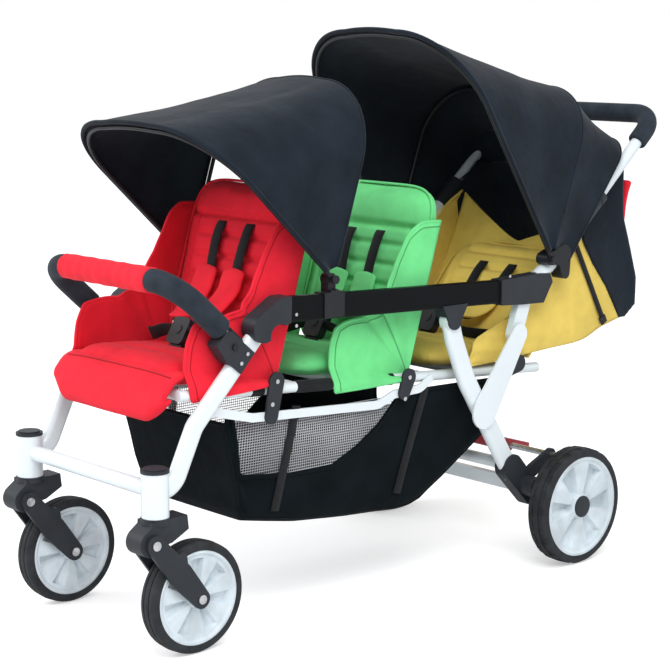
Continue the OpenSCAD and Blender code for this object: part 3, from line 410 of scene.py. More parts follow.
def tidy_normals(obj):
    shell = bmesh.new()
    shell.from_mesh(obj.data)
    bmesh.ops.recalc_face_normals(shell, faces=shell.faces)
    shell.to_mesh(obj.data)
    shell.free()
    obj.data.shade_smooth()


def wrap_weave(obj):
    """Lay the weave on a piece by the side that each face looks to."""
    mesh = obj.data
    layer = mesh.uv_layers.get("weave") or mesh.uv_layers.new(name="weave")
    for face in mesh.polygons:
        size = [abs(c) for c in face.normal]
        drop = size.index(max(size))
        keep = [axis for axis in range(3) if axis != drop]
        for loop in face.loop_indices:
            place = mesh.vertices[mesh.loops[loop].vertex_index].co
            layer.data[loop].uv = (place[keep[0]], place[keep[1]])


def grid_faces(rows, cols):
    width = cols + 1
    return [
        (i * width + j, i * width + j + 1, (i + 1) * width + j + 1, (i + 1) * width + j)
        for i in range(rows) for j in range(cols)
    ]


def cloth(name, place, rows, cols, material, thick):
    """A sheet laid on place(u, v), with its weave along both directions. Returns it with its flat cut."""
    points = [place(i / rows, j / cols) for i in range(rows + 1) for j in range(cols + 1)]
    width = cols + 1
    lines = [points[i * width:(i + 1) * width] for i in range(rows + 1)]
    columns = [points[j::width] for j in range(width)]
    along_u = lengths_along(columns[cols // 2])
    along_v = lengths_along(lines[rows // 2])
    uvs = [(along_v[j], along_u[i]) for i in range(rows + 1) for j in range(cols + 1)]
    obj = mesh_piece(name, points, grid_faces(rows, cols), material, uvs)
    area = sum(face.area for face in obj.data.polygons)
    wide = max(lengths_along(line)[-1] for line in lines)
    long = max(lengths_along(column)[-1] for column in columns)
    obj["cut"] = [wide, long, area]
    shell = bmesh.new()
    shell.from_mesh(obj.data)
    bmesh.ops.remove_doubles(shell, verts=shell.verts, dist=0.01 * MM)
    shell.to_mesh(obj.data)
    shell.free()
    apply(obj, "SOLIDIFY", thickness=thick * MM, offset=0, use_even_offset=False)
    obj.data.shade_smooth()
    return obj


def declare_sheet(obj):
    """Remove the flat cut that cloth() stored on a sheet."""
    del obj["cut"]


def carried_frames(path, closed=False):
    """Tangent and two cross directions along a path, turned as little as possible."""
    frames = []
    count = len(path)
    normal = None
    for i, point in enumerate(path):
        before = path[i - 1] if (i or closed) else point
        after = path[(i + 1) % count] if (i < count - 1 or closed) else point
        tangent = (after - before).normalized()
        if normal is None:
            guess = Vector((0, 0, 1)) if abs(tangent.z) < 0.9 else Vector((1, 0, 0))
            normal = tangent.cross(guess).normalized()
        normal = (normal - tangent * normal.dot(tangent)).normalized()
        frames.append((tangent, normal, tangent.cross(normal)))
    return frames


def tube(name, path, radius, material, sides=10, closed=False):
    """A round tube along a path; the radius is one value or one for each point, in millimetres."""
    frames = carried_frames(path, closed)
    points, uvs = [], []
    length = 0
    for i, point in enumerate(path):
        size = (radius[i] if isinstance(radius, list) else radius) * MM
        length += (point - path[i - 1]).length if i else 0
        for k in range(sides):
            angle = 2 * math.pi * k / sides
            offset = frames[i][1] * math.cos(angle) + frames[i][2] * math.sin(angle)
            points.append(point + offset * size)
            uvs.append((size * angle, length))
    rings = len(path) if closed else len(path) - 1
    faces = []
    for i in range(rings):
        for k in range(sides):
            a, b = i * sides + k, i * sides + (k + 1) % sides
            step = (i + 1) % len(path) * sides
            faces.append((a, b, step + (k + 1) % sides, step + k))
    if not closed:
        faces.append(tuple(range(sides))[::-1])
        faces.append(tuple(range(len(points) - sides, len(points))))
    obj = mesh_piece(name, points, faces, material, uvs)
    tidy_normals(obj)
    return obj


def strap(name, path, width, material, across, thick=1.8):
    """Flat webbing along a path; across is its width direction."""
    corner = 0.35 * thick
    w, h = width / 2, thick / 2
    section = [
        (-w, corner - h), (corner - w, -h), (w - corner, -h), (w, corner - h),
        (w, h - corner), (w - corner, h), (corner - w, h), (-w, h - corner),
    ]
    points, uvs = [], []
    length = 0
    sides = len(section)
    for i, point in enumerate(path):
        before, after = path[max(i - 1, 0)], path[min(i + 1, len(path) - 1)]
        tangent = (after - before).normalized()
        side = across - tangent * across.dot(tangent)
        side.normalize()
        face = tangent.cross(side)
        length += (point - path[i - 1]).length if i else 0
        for a, b in section:
            points.append(point + side * a * MM + face * b * MM)
            uvs.append((a * MM, length))
    faces = [
        (i * sides + k, i * sides + (k + 1) % sides, (i + 1) * sides + (k + 1) % sides, (i + 1) * sides + k)
        for i in range(len(path) - 1) for k in range(sides)
    ]
    faces.append(tuple(range(sides))[::-1])
    faces.append(tuple(range(len(points) - sides, len(points))))
    obj = mesh_piece(name, points, faces, material, uvs)
    tidy_normals(obj)
    return obj


def smooth_path(points, steps=8):
    """A smooth line through given points."""
    ends = [2 * points[0] - points[1], *points, 2 * points[-1] - points[-2]]
    path = []
    for p0, p1, p2, p3 in zip(ends, ends[1:], ends[2:], ends[3:]):
        for k in range(steps):
            t = k / steps
            path.append(0.5 * (
                2 * p1 + (p2 - p0) * t + (2 * p0 - 5 * p1 + 4 * p2 - p3) * t ** 2
                + (3 * p1 - p0 - 3 * p2 + p3) * t ** 3
            ))
    path.append(points[-1].copy())
    return path


def rounded_ends(path, radius, fillet=5.0):
    """One radius for each point, drawn in over a short length at both ends."""
    lengths = [length / MM for length in lengths_along(path)]
    sizes = []
    for s in lengths:
        near = min(s, lengths[-1] - s, fillet)
        sizes.append(radius - fillet + fillet * math.sin(math.acos(1 - near / fillet)))
    return sizes


def resampled(path, step=4.0):
    """The same line with even steps, in millimetres, and its ends kept."""
    even = [path[0].copy()]
    for a, b in zip(path, path[1:]):
        count = max(1, round((b - a).length / MM / step))
        even += [a.lerp(b, (k + 1) / count) for k in range(count)]
    fine = [even[0].lerp(even[1], t) for t in (0.25, 0.5, 0.75)]
    tail = [even[-2].lerp(even[-1], t) for t in (0.25, 0.5, 0.75)]
    return [even[0], *fine, *even[1:-1], *tail, even[-1]]


def join(name, pieces):
    """Several made pieces become one object with one name."""
    bpy.ops.object.select_all(action="DESELECT")
    for piece in pieces:
        piece.select_set(True)
    bpy.context.view_layer.objects.active = pieces[0]
    if len(pieces) > 1:
        bpy.ops.object.join()
    pieces[0].name = name
    pieces[0].data.name = name
    return pieces[0]


def pick_faces(obj, test):
    """Open a piece for editing with only the faces that pass the test selected."""
    only(obj)
    bpy.ops.object.mode_set(mode="EDIT")
    bpy.ops.mesh.select_mode(type="FACE")
    bpy.ops.mesh.select_all(action="DESELECT")
    bpy.ops.object.mode_set(mode="OBJECT")
    for face in obj.data.polygons:
        face.select = test(face)
    bpy.ops.object.mode_set(mode="EDIT")


def disc(name, place, axis, radius, height, material, dome=0.45):
    """A round head: a cylinder with its outer edge rounded off."""
    head = cylinder(name, 24, radius * MM, height * MM)
    pick_faces(head, lambda face: face.normal.z > 0.9)
    bpy.ops.mesh.inset(thickness=radius * MM * 0.3, depth=0)
    bpy.ops.mesh.inset(thickness=radius * MM * 0.35, depth=height * MM * dome * 0.6)
    bpy.ops.object.mode_set(mode="OBJECT")
    apply(head, "BEVEL", width=min(radius, height) * MM * 0.25, segments=2, limit_method="ANGLE")
    stand(head, place, axis, material)
    return head


# Padding: a rounded slab is remeshed, blown up by cloth pressure and set in its place

VOXEL = 6 * MM
PUFF_FRAMES = 16


def slab(name, half, edge_power, plan_power, material):
    """A closed pillow form with its three half sizes in millimetres."""
    rows, cols = 18, 48
    points = [Vector((0, 0, -half[2] * MM))]
    for i in range(1, rows):
        tilt = math.pi * (i / rows - 0.5)
        for j in range(cols):
            turn = 2 * math.pi * j / cols
            ring = sloped(edge_power, math.cos(tilt))
            points.append(Vector((
                half[0] * MM * ring * sloped(plan_power, math.cos(turn)),
                half[1] * MM * ring * sloped(plan_power, math.sin(turn)),
                half[2] * MM * sloped(edge_power, math.sin(tilt)),
            )))
    points.append(Vector((0, 0, half[2] * MM)))
    top = len(points) - 1
    faces = [(0, 1 + (j + 1) % cols, 1 + j) for j in range(cols)]
    for i in range(rows - 2):
        for j in range(cols):
            a, b = 1 + i * cols + j, 1 + i * cols + (j + 1) % cols
            faces.append((a, b, b + cols, a + cols))
    faces += [(top, top - cols + j, top - cols + (j + 1) % cols) for j in range(cols)]
    return mesh_piece(name, points, faces, material)


def puff(obj, cap, pressure=4.0):
    """Blow a closed form up with cloth pressure, and let no point move further than the cap."""
    apply(obj, "REMESH", mode="VOXEL", voxel_size=VOXEL)
    before = [v.co.copy() for v in obj.data.vertices]
    only(obj)
    modifier = obj.modifiers.new("cloth", "CLOTH")
    modifier.settings.quality = 5
    modifier.settings.mass = 0.3
    modifier.settings.use_pressure = True
    modifier.settings.uniform_pressure_force = pressure
    modifier.settings.effector_weights.gravity = 0
    modifier.collision_settings.use_collision = False
    modifier.point_cache.frame_end = PUFF_FRAMES
    for step in range(1, PUFF_FRAMES + 1):
        bpy.context.scene.frame_set(step)
    bpy.ops.object.modifier_apply(modifier=modifier.name)
    bpy.context.scene.frame_set(1)
    for vertex, old in zip(obj.data.vertices, before):
        moved = vertex.co - old
        if moved.length > cap * MM:
            vertex.co = old + moved.normalized() * cap * MM
    apply(obj, "SMOOTH", factor=0.5, iterations=3)
    apply(obj, "SUBSURF", levels=1, render_levels=1)
    obj.data.shade_smooth()


def reshape(obj, change):
    """Move every vertex, given and returned in millimetres of the piece's own frame."""
    for vertex in obj.data.vertices:
        vertex.co = change(vertex.co / MM) * MM


def settle(obj, matrix):
    obj.data.transform(matrix)
    wrap_weave(obj)


# Seats

RAIL_FRONT = (25, 452)
RAIL_REAR = (990, 389)
RAIL_LIFT = 10.5
SEAT_SLOPE = math.atan2(RAIL_REAR[1] - RAIL_FRONT[1], RAIL_REAR[0] - RAIL_FRONT[0])


def rail_z(d):
    return mix(RAIL_FRONT[1], RAIL_REAR[1], (d - RAIL_FRONT[0]) / (RAIL_REAR[0] - RAIL_FRONT[0]))


class Seat:
    """One seat: its colour, its cushion's ends and its reclining back."""

    def __init__(self, name, cloth_finish, seam_shade_finish, slot, cushion, lean, back_top):
        self.name = name
        self.cloth = cloth_finish
        # The seam cloth is a darker copy of the seat's cloth: painted shade for the sewn grooves.
        self.seam = seam_shade_finish
        self.slot = slot
        self.cushion = cushion
        self.lean = math.radians(lean)
        self.back_top = back_top
        self.body = name + "_back"
        place = child_joint(self.body)
        self.hinge = ((place.y - STEM_Y) / MM, place.z / MM)

    def back_point(self, x, along, forward):
        """A point on the back, from its hinge: along the back and forward of it."""
        d = self.hinge[0] + along * math.sin(self.lean) - forward * math.cos(self.lean)
        z = self.hinge[1] + along * math.cos(self.lean) + forward * math.sin(self.lean)
        return at(x, d, z)

    def back_matrix(self, along, forward):
        """Local x across, y along the back, z forward."""
        turn = Matrix((
            (1, 0, 0),
            (0, math.sin(self.lean), -math.cos(self.lean)),
            (0, math.cos(self.lean), math.sin(self.lean)),
        ))
        return Matrix.Translation(self.back_point(0, along, forward)) @ turn.to_4x4()


SEATS = {
    "front": Seat("front", red_cloth, red_seam_shade, "red_fabric", (62, 267), 16.5, 362),
    "middle": Seat("middle", green_cloth, green_seam_shade, "green_fabric", (348, 597), 16.5, 378),
    "rear": Seat("rear", yellow_cloth, yellow_seam_shade, "yellow_fabric", (690, 909), 42, 296),
}
CUSHION_HALF = 157
CUSHION_THICK = 40
BACK_THICK = 46
BACK_FOOT = 22


def seat_cushion(seat):
    """The sitting pad: crowned, with drawn-in sides and two sewn cross channels."""
    front, back = seat.cushion
    half_l = (back - front) / 2
    form = (CUSHION_HALF - 3, half_l - 3, CUSHION_THICK / 2 - 3)
    pad = slab(f"{seat.name}_cushion", form, 0.5, 0.22, seat.cloth)
    puff(pad, 6)
    channels = (-0.3 * half_l, 0.35 * half_l)

    def sew(p):
        dent = max(bump_at(p.y, c, 5) for c in channels) * 5 * (1 - min(abs(p.x) / CUSHION_HALF, 1) ** 6)
        crown = 5 * (1 - (p.x / CUSHION_HALF) ** 2) * (1 - (p.y / half_l) ** 2)
        lift = crown - dent if p.z > 0 else 0
        return Vector((p.x, p.y, max(p.z + lift, -CUSHION_THICK / 2)))

    reshape(pad, sew)
    middle = (front + back) / 2
    base = at(0, middle, rail_z(middle) + RAIL_LIFT + CUSHION_THICK / 2 + 1)
    settle(pad, Matrix.Translation(base) @ Matrix.Rotation(SEAT_SLOPE, 4, "X"))
    give(pad, "chassis", seat.slot, f"{seat.name}_seat")


BACK_HALF = 166
BACK_CORNER = 0.36
HEAD_SEAM = 283
HEAD_ROLL = 76
BACK_CHANNELS = (246, 206, 166, 126)
BACK_SET = -10
PIPING_R = 2.6


def backrest(seat):
    """The back pad: a head roll over a sewn seam, with cross channels in the middle below it."""
    middle = (seat.back_top + BACK_FOOT) / 2
    half_l = (seat.back_top - BACK_FOOT) / 2
    form = (BACK_HALF - 4, half_l - 4, BACK_THICK / 2 - 4)
    pad = slab(f"{seat.name}_back_pad", form, 0.55, BACK_CORNER, seat.cloth)
    puff(pad, 7)

    def sew(p):
        along = p.y + middle
        front = max(0, min(1, p.z / 8))
        inner = 1 - min(abs(p.x) / 118, 1) ** 8
        dent = max(bump_at(along, c, 6) for c in BACK_CHANNELS) * 7 * inner
        seam = 9 * bump_at(along, HEAD_SEAM, 6) * (1 - min(abs(p.x) / BACK_HALF, 1) ** 10)
        sides = 5 * bump_at(abs(p.x), 116, 5) if along < HEAD_SEAM else 0
        roll = min(max((along - HEAD_SEAM) / HEAD_ROLL, 0), 1)
        head = 7 * max(0, math.sin(math.pi * roll)) * (1 - (p.x / BACK_HALF) ** 2)
        return Vector((p.x, p.y, p.z + front * (head - dent - seam - sides)))

    reshape(pad, sew)
    place = seat.back_matrix(middle, BACK_SET)
    settle(pad, place)
    give(pad, seat.body, seat.slot, f"{seat.name}_backrest")
    outline = []
    for k in range(120):
        turn = 2 * math.pi * k / 120
        x = (BACK_HALF - 10) * sloped(BACK_CORNER, math.cos(turn))
        y = (half_l - 10) * sloped(BACK_CORNER, math.sin(turn))
        outline.append(place @ (Vector((x, y, 9.5)) * MM))
    piping = tube(f"{seat.name}_back_piping", outline, PIPING_R, seat.cloth, 8, True)
    give(piping, seat.body, seat.slot)


# The side of a bucket seat is a fan of cloth about the corner where the back is hinged:
# angle from the seat's edge up to the back, and the reach of the cloth at that angle
SIDE_REACH = {
    "front": [
        (-19, 198), (-14, 202), (-4, 208), (8, 216), (17, 217), (22, 200), (32, 168), (45, 154), (58, 178),
        (66, 208), (72, 244), (76, 276), (81, 296), (90, 303),
    ],
    "middle": [
        (-17, 197), (-12, 199), (-4, 203), (8, 214), (15, 216), (20, 204), (32, 165), (45, 153), (58, 178),
        (66, 208), (72, 244), (76, 276), (81, 296), (90, 306),
    ],
}
SIDE_X = 168
SIDE_SETBACK = -15
SIDE_FLARE = 15
SIDE_FOLDS = (34, 49)
SIDE_CREASE = 47
EDGE_PIPING_R = 3.4


def side_point(seat, sign, angle, share):
    """A point on the seat's side: share runs from the hinge corner to the free edge."""
    reach = chain(SIDE_REACH[seat.name], angle) * share
    turn = math.radians(angle)
    along = reach * math.sin(turn)
    forward = SIDE_SETBACK + reach * math.cos(turn)
    wing = min(max((angle - 52) / 20, 0), 1)
    fold = sum(bump_at(angle, a, 4) for a in SIDE_FOLDS) * 7 * share
    puffed = 5 * math.sin(math.pi * min(share, 1)) * (1 - wing)
    lean_in = wing * 16 * (max(forward, 0) / 75) ** 2
    flare = SIDE_FLARE * min(max((-4 - angle) / 8, 0), 1)
    return seat.back_point(sign * (SIDE_X - fold + puffed + flare - lean_in - 3), along, forward)


def seat_side(seat, sign, label):
    low, high = SIDE_REACH[seat.name][0][0], SIDE_REACH[seat.name][-1][0]

    def place(u, v):
        return side_point(seat, sign, mix(low, high, u), 0.03 + 0.97 * v)

    side = cloth(f"{seat.name}_side_{label}", place, 72, 20, seat.cloth, 5)
    start = seat.back_point(0, 80, 118)
    end = seat.back_point(0, 128, 60)
    edge = [side_point(seat, sign, mix(low, high, s), 1.0) for s in spread(90)]
    foot = [side_point(seat, sign, low, 1 - k / 12) for k in range(12)][::-1]
    piping = tube(f"{seat.name}_side_piping_{label}", foot + edge, EDGE_PIPING_R, seat.cloth, 8)
    proud = Vector((sign * 2.7 * MM, 0, 0))

    def inner(angle):
        return side_point(seat, sign, angle, 1 - 10 / chain(SIDE_REACH[seat.name], angle)) + proud

    # Thin lines just inside the edge and along the crease, in the darker cloth: painted shade of sewn
    # grooves.
    hem = [inner(mix(low, high, s)) for s in spread(90)]
    crease = [side_point(seat, sign, SIDE_CREASE, 0.08 + 0.85 * s) + proud for s in spread(30)]
    rows = [tube("side_stitch", hem, 1.1, seat.seam, 6), tube("side_stitch", crease, 1.4, seat.seam, 6)]
    seam_shade = join(f"{seat.name}_side_stitch_{label}", rows)
    for piece in (side, piping, seam_shade):
        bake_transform(piece)
    declare_sheet(side)


FLAP_PROUD = Vector((0, -3 * MM, 4 * MM))
FLAP_HALF = 166
FLAP_PROFILE = [(108, 484), (84, 485), (62, 477), (45, 457), (36, 436), (32, 419), (36, 407)]


def seat_flap():
    """The front seat's cloth rolls over its front edge and hangs as a short rounded flap."""
    seat = SEATS["front"]
    heights = smooth_path([Vector((0, d, z)) for d, z in FLAP_PROFILE], 5)
    rows = len(heights) - 1

    def place(u, v):
        line = heights[round(u * rows)]
        x = 2 * v - 1
        corner = 42 * max(0, abs(x) - 0.68) ** 2 / 0.32 ** 2
        drop = max(0, (u - 0.45) / 0.55)
        tuck = 16 * max(0, abs(x) - 0.8) / 0.2
        wave = 2.5 * math.sin(3.2 * x + 1) * drop
        return at(x * FLAP_HALF, line.y + tuck * drop - wave, line.z + corner * drop - 5 * abs(x) ** 4)

    flap = cloth("front_flap", place, rows, 60, seat.cloth, 9)
    hem = tube("front_flap_piping", [place(1.0, s) for s in spread(60)], EDGE_PIPING_R, seat.cloth, 8)
    # A thin line across the flap in the darker cloth: painted shade of a sewn crease.
    line = [place(0.3, 0.03 + 0.94 * s) + FLAP_PROUD for s in spread(60)]
    crease = tube("front_flap_seam_shade", line, 1.2, seat.seam, 6)
    for piece in (flap, hem, crease):
        give(piece, "chassis", seat.slot)
    declare_sheet(flap)


def soft_strip(name, path, width, thick, material, across):
    """A narrow stuffed strip along a path, with round ends."""
    points, sides = [], 20
    last = len(path) - 1
    for i, point in enumerate(path):
        tangent = (path[min(i + 1, last)] - path[max(i - 1, 0)]).normalized()
        side = (across - tangent * across.dot(tangent)).normalized()
        face = tangent.cross(side)
        near = min(i, last - i) / last / 0.09
        full = math.sqrt(max(0.02, 1 - (1 - min(near, 1)) ** 2))
        for k in range(sides):
            turn = 2 * math.pi * k / sides
            a = width / 2 * full * sloped(0.6, math.cos(turn))
            b = thick / 2 * (0.4 + 0.6 * full) * sloped(0.8, math.sin(turn))
            points.append(point + (side * a + face * b) * MM)
    faces = [
        (i * sides + k, i * sides + (k + 1) % sides, (i + 1) * sides + (k + 1) % sides, (i + 1) * sides + k)
        for i in range(last) for k in range(sides)
    ]
    faces.append(tuple(range(sides))[::-1])
    faces.append(tuple(range(last * sides, len(points))))
    obj = mesh_piece(name, points, faces, material)
    tidy_normals(obj)
    wrap_weave(obj)
    return obj


SHOULDER_X = 41
SHOULDER_PAD = (60, 10)
HARNESS_WIDTH = 25
WAIST_TILT = Vector((0, -0.45, 0.9))


def harness(seat):
    """Shoulder straps out of two slits and waist straps, all to the buckle."""
    buckle_lo, buckle_hi = BUCKLES[seat.name]
    middle = (buckle_lo + buckle_hi) / 2
    face, slit = (17, 236) if seat.name == "rear" else (21, HEAD_SEAM - 6)
    straps, pads = [], []
    for sign, label in SIDES[::-1]:
        x = SHOULDER_X * sign
        top = seat.back_point(x, slit, 2)
        out = seat.back_point(x, slit - 9, face - 4)
        lie = [seat.back_point(x - sign * 2 * k, slit - 40 - 34 * k, face + 2 + k) for k in range(3)]
        hang = seat.back_point(x * 0.85, slit - 172, face + 26)
        end = Vector((x * 0.6 * MM, middle.y + 8 * MM, buckle_hi.z - 8 * MM))
        path = smooth_path([top, out, *lie, hang, mix(hang, end, 0.55) - Vector((0, 0, 6 * MM)), end], 6)
        name = f"{seat.name}_shoulder_strap_{label}"
        straps.append(strap(name, path, HARNESS_WIDTH, strap_black, LEFT))
        pad_line = [seat.back_point(x * 0.97, slit - 92 - 22 * k, face + 7 + 3 * k) for k in range(3)]
        pad_line += [hang + Vector((0, -3 * MM, 5 * MM)), mix(hang, end, 0.5), mix(hang, end, 0.86)]
        name = f"{seat.name}_shoulder_pad_{label}"
        pads.append(soft_strip(name, smooth_path(pad_line, 8), *SHOULDER_PAD, seat.cloth, LEFT))
        cushion_top = rail_z(seat.hinge[0]) + RAIL_LIFT + CUSHION_THICK
        hip = at(148 * sign, seat.hinge[0] - 26, cushion_top + 18)
        mid_hip = at(96 * sign, seat.hinge[0] - 66, cushion_top + 24)
        clip = Vector((sign * 24 * MM, middle.y, middle.z + 4 * MM))
        waist = smooth_path([hip, mid_hip, mix(mid_hip, clip, 0.6) + Vector((0, 0, 3 * MM)), clip], 8)
        name = f"{seat.name}_waist_strap_{label}"
        straps.append(strap(name, waist, HARNESS_WIDTH, strap_black, WAIST_TILT))
    for piece in straps + pads:
        if "shoulder" in piece.name:
            seat.back_point(0, 40, 60)
            seat.back_point(0, 110, 30)
            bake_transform(piece)
        else:
            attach(piece, "chassis")
        "black_fabric" if piece in straps else seat.slot


def buckle_boxes():
    """The three buckles are solids of one node, told apart by their distance from each hinge."""
    boxes = {}
    points = [v.co for v in frame["nodes"]["harness_buckles"].data.vertices]
    for seat in SEATS.values():
        near = [p for p in points if abs(p.y - at(0, seat.hinge[0] - 92, 0).y) < 0.12]
        boxes[seat.name] = [Vector([end(p[i] for p in near) for i in range(3)]) for end in (min, max)]
    return boxes


BUCKLES = buckle_boxes()

for seat in SEATS.values():
    seat_cushion(seat)
    backrest(seat)
    harness(seat)
for name in SIDE_REACH:
    for sign, label in SIDES:
        seat_side(SEATS[name], sign, label)
seat_flap()


# Rear seat: yellow side walls and a sling behind the back, with the black panel outside

WALL_X = 178
WALL_FOOT = [(781, 416), (855, 418), (1005, 426), (1114, 432), (1178, 453), (1240, 467)]
WALL_TOP = [
    (781, 420), (790, 446), (806, 470), (860, 489), (922, 520), (970, 590), (1070, 688), (1122, 722),
]
SEAM = [(466, 1241), (538, 1193), (591, 1147), (643, 1112), (700, 1104), (722, 1122)]


def rear_wall(sign, label):
    seat = SEATS["rear"]
    low = smooth_path([Vector((0, d, z)) for d, z in WALL_FOOT], 8)
    high = smooth_path([Vector((0, d, z)) for d, z in WALL_TOP], 5)

    def along(line, s):
        k = s * (len(line) - 1)
        i = min(int(k), len(line) - 2)
        return line[i].lerp(line[i + 1], k - i)

    def place(u, v):
        a = along(low, u)
        b = along(high, u)
        p = a.lerp(b, v)
        limit = chain(SEAM, p.z)
        sag = 5 * math.sin(math.pi * v) * math.sin(math.pi * u)
        ripple = 3 * math.sin(17 * u + 4 * v) * v
        return at(sign * (WALL_X + sag - abs(ripple)), min(p.y, limit), p.z)

    wall = cloth(f"rear_wall_{label}", place, 48, 28, seat.cloth, 3)
    rim = tube(f"rear_wall_piping_{label}", [place(s, 1.0) for s in spread(70)], 3, seat.cloth, 8)
    for piece in (wall, rim):
        give(piece, "chassis", seat.slot)
    declare_sheet(wall)
    return wall


def rear_sling():
    """The cloth behind the rear back rises in a V to both handle collars."""
    seat = SEATS["rear"]

    def place(u, v):
        x = 2 * v - 1
        top = 292 + 80 * abs(x) ** 1.2
        along = mix(30, top, u)
        forward = -26 + u * u * (22 + 52 * abs(x) ** 2) + 3 * math.sin(9 * x) * u
        return seat.back_point(x * 176, along, forward)

    sling = cloth("rear_sling", place, 36, 60, seat.cloth, 3)
    hem = tube("rear_sling_piping", [place(1.0, s) for s in spread(60)], 3, seat.cloth, 8)
    for piece in (sling, hem):
        seat.back_point(0, 380, 0)
        seat.back_point(0, 292, 0)
        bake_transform(piece)
    declare_sheet(sling)


PANEL_X = 181
PANEL_CORNER = 14
PANEL_REAR = [(466, 1262), (492, 1297), (550, 1298), (624, 1272), (682, 1250), (751, 1246), (786, 1246)]
PANEL_SEAM = [(466, 1239), (538, 1192), (591, 1146), (643, 1111), (700, 1103), (730, 1113), (786, 1176)]


def rear_panel():
    """The black cloth round the outside of the rear seat's back."""

    def place(u, v):
        z = mix(468, 786, u)
        near, far = chain(PANEL_SEAM, z), chain(PANEL_REAR, z)
        deep = far - near
        half_round = 2 * PANEL_X + 2 * deep
        s = abs(2 * v - 1) * half_round / 2
        sign = 1 if v > 0.5 else -1
        hollow = 5 * math.sin(math.pi * u)
        if s < PANEL_X - PANEL_CORNER:
            return at(sign * s, far - hollow * (1 - (s / PANEL_X) ** 2), z)
        if s > PANEL_X + PANEL_CORNER:
            wave = 2.5 * math.sin(math.pi * (s - PANEL_X) / deep)
            return at(sign * (PANEL_X - wave), far - (s - PANEL_X), z)
        turn = (s - PANEL_X + PANEL_CORNER) / (2 * PANEL_CORNER) * math.pi / 2
        return at(
            sign * (PANEL_X - PANEL_CORNER + PANEL_CORNER * math.sin(turn)),
            far - PANEL_CORNER + PANEL_CORNER * math.cos(turn), z,
        )

    panel = cloth("rear_panel", place, 40, 110, black_cloth, 3)
    give(panel, "chassis", "black_fabric", "rear_back_panel")
    declare_sheet(panel)


RECLINE_LINE = [(1086, 634), (1094, 620), (1134, 550), (1176, 476), (1184, 462)]
RECLINE_TILT = Vector((0, 0.87, 0.5))
TAB_LINE = [(1259, 676), (1261, 700), (1264, 730), (1267, 758)]
TAB_X = 166


def recline_straps():
    """A black strap on each side holds the rear back up, and ends in a slide clip at the seam."""
    clips = []
    for sign, label in SIDES:
        path = smooth_path([at(sign * (PANEL_X + 4), d, z) for d, z in RECLINE_LINE], 8)
        strip = strap(f"recline_strap_{label}", path, 13, strap_black, RECLINE_TILT)
        give(strip, "chassis", "black_fabric")
        ends = [path[-9], path[-5], path[-2]]
        clips.append(strap("recline_clip", ends, 19, black_plastic, RECLINE_TILT, 7))
    give(join("recline_clips", clips), "chassis", "black_plastic")


def pull_tab():
    """A red pull tab sewn to the back of the panel."""
    path = smooth_path([at(TAB_X, d, z) for d, z in TAB_LINE], 8)
    sizes = [mix(4, 13, (k / (len(path) - 1)) ** 3) for k in range(len(path))]
    sizes[-2] = 11
    sizes[-1] = 6
    tab = tube("pull_tab", path, sizes, red_cloth, 16)
    give(tab, "chassis", "red_fabric", "rear_tab")


left_wall = rear_wall(1, "left")
rear_wall(-1, "right")
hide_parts("rear_seat_tub")
rear_sling()
rear_panel()
recline_straps()
pull_tab()


# Canopies: one sheet each, stretched over arches that fan out from the clips

TOP_SHARE = 0.3
LEG_SHARE = 0.62
TOP_CROWN = 5
CANOPY_FOOT = 24


class Arch:
    """Two legs that lean out from a clip and a top between them with round corners, in millimetres."""

    def __init__(self, clip, top, half, corner):
        self.clip = Vector((0, *clip))
        self.out = Vector((0, *top)) - self.clip
        self.half = half
        self.corner = corner

    def point(self, v):
        """v runs from the left foot up, over the top and down to the right foot."""
        reach = self.out.length
        flat = self.half - self.corner
        share = abs(2 * v - 1)
        sign = 1 if v < 0.5 else -1
        if share < TOP_SHARE:
            x = flat * share / TOP_SHARE
            rise = reach + TOP_CROWN * (1 - (x / flat) ** 2)
        elif share < LEG_SHARE:
            turn = (share - TOP_SHARE) / (LEG_SHARE - TOP_SHARE) * math.pi / 2
            x = flat + self.corner * math.sin(turn)
            rise = reach - self.corner * (1 - math.cos(turn))
        else:
            x = self.half
            rise = mix(reach - self.corner, CANOPY_FOOT, (share - LEG_SHARE) / (1 - LEG_SHARE))
        place = self.clip + self.out * (rise / reach)
        return at(sign * x, place.y, place.z)


SEAM_START = 9
FRONT_CLIP = (385, 628)
REAR_CLIP = (959, 619)
FRONT_ARCHES = [
    Arch(FRONT_CLIP, (494, 977), 216, 152),
    Arch(FRONT_CLIP, (88, 905), 219, 145),
]
REAR_EDGE = Arch((1000, 591), (1200, 850), 224, 60)
REAR_ARCHES = [
    REAR_EDGE,
    Arch(REAR_CLIP, (1078, 957), 230, 122),
    Arch(REAR_CLIP, (670, 1067), 236, 165),
]
BOW_R = 4
BOW_EYE_R = 8
BOW_INSET = 6.5
BACK_BOW_INSET = (12.5, 9.5)


def hood_hoop(name, arch, short, inset, pivots):
    """The bow under a canopy's arch; a bow that folds has an eye on each clip's pin."""
    out = arch.out.normalized()
    top = arch.clip + arch.out - out * (short + TOP_CROWN)
    inner = Arch(arch.clip.yz, top.yz, arch.half - inset, arch.corner - inset)
    pieces = [tube(name, [inner.point(s) for s in spread(160)], BOW_R, black_plastic, 12)]
    if pivots:
        for sign, _ in SIDES:
            place = at(sign * inner.half, arch.clip.y, arch.clip.z)
            foot = inner.point(0.0 if sign > 0 else 1.0)
            pieces.append(tube(name, [place, place.lerp(foot, 0.5), foot], BOW_R, black_plastic, 12))
            middle = place - LEFT * sign * BOW_R * MM
            pieces.append(disc(name, middle, LEFT * sign, BOW_EYE_R, 2 * BOW_R, black_plastic, 0.2))
    return join(name, pieces)


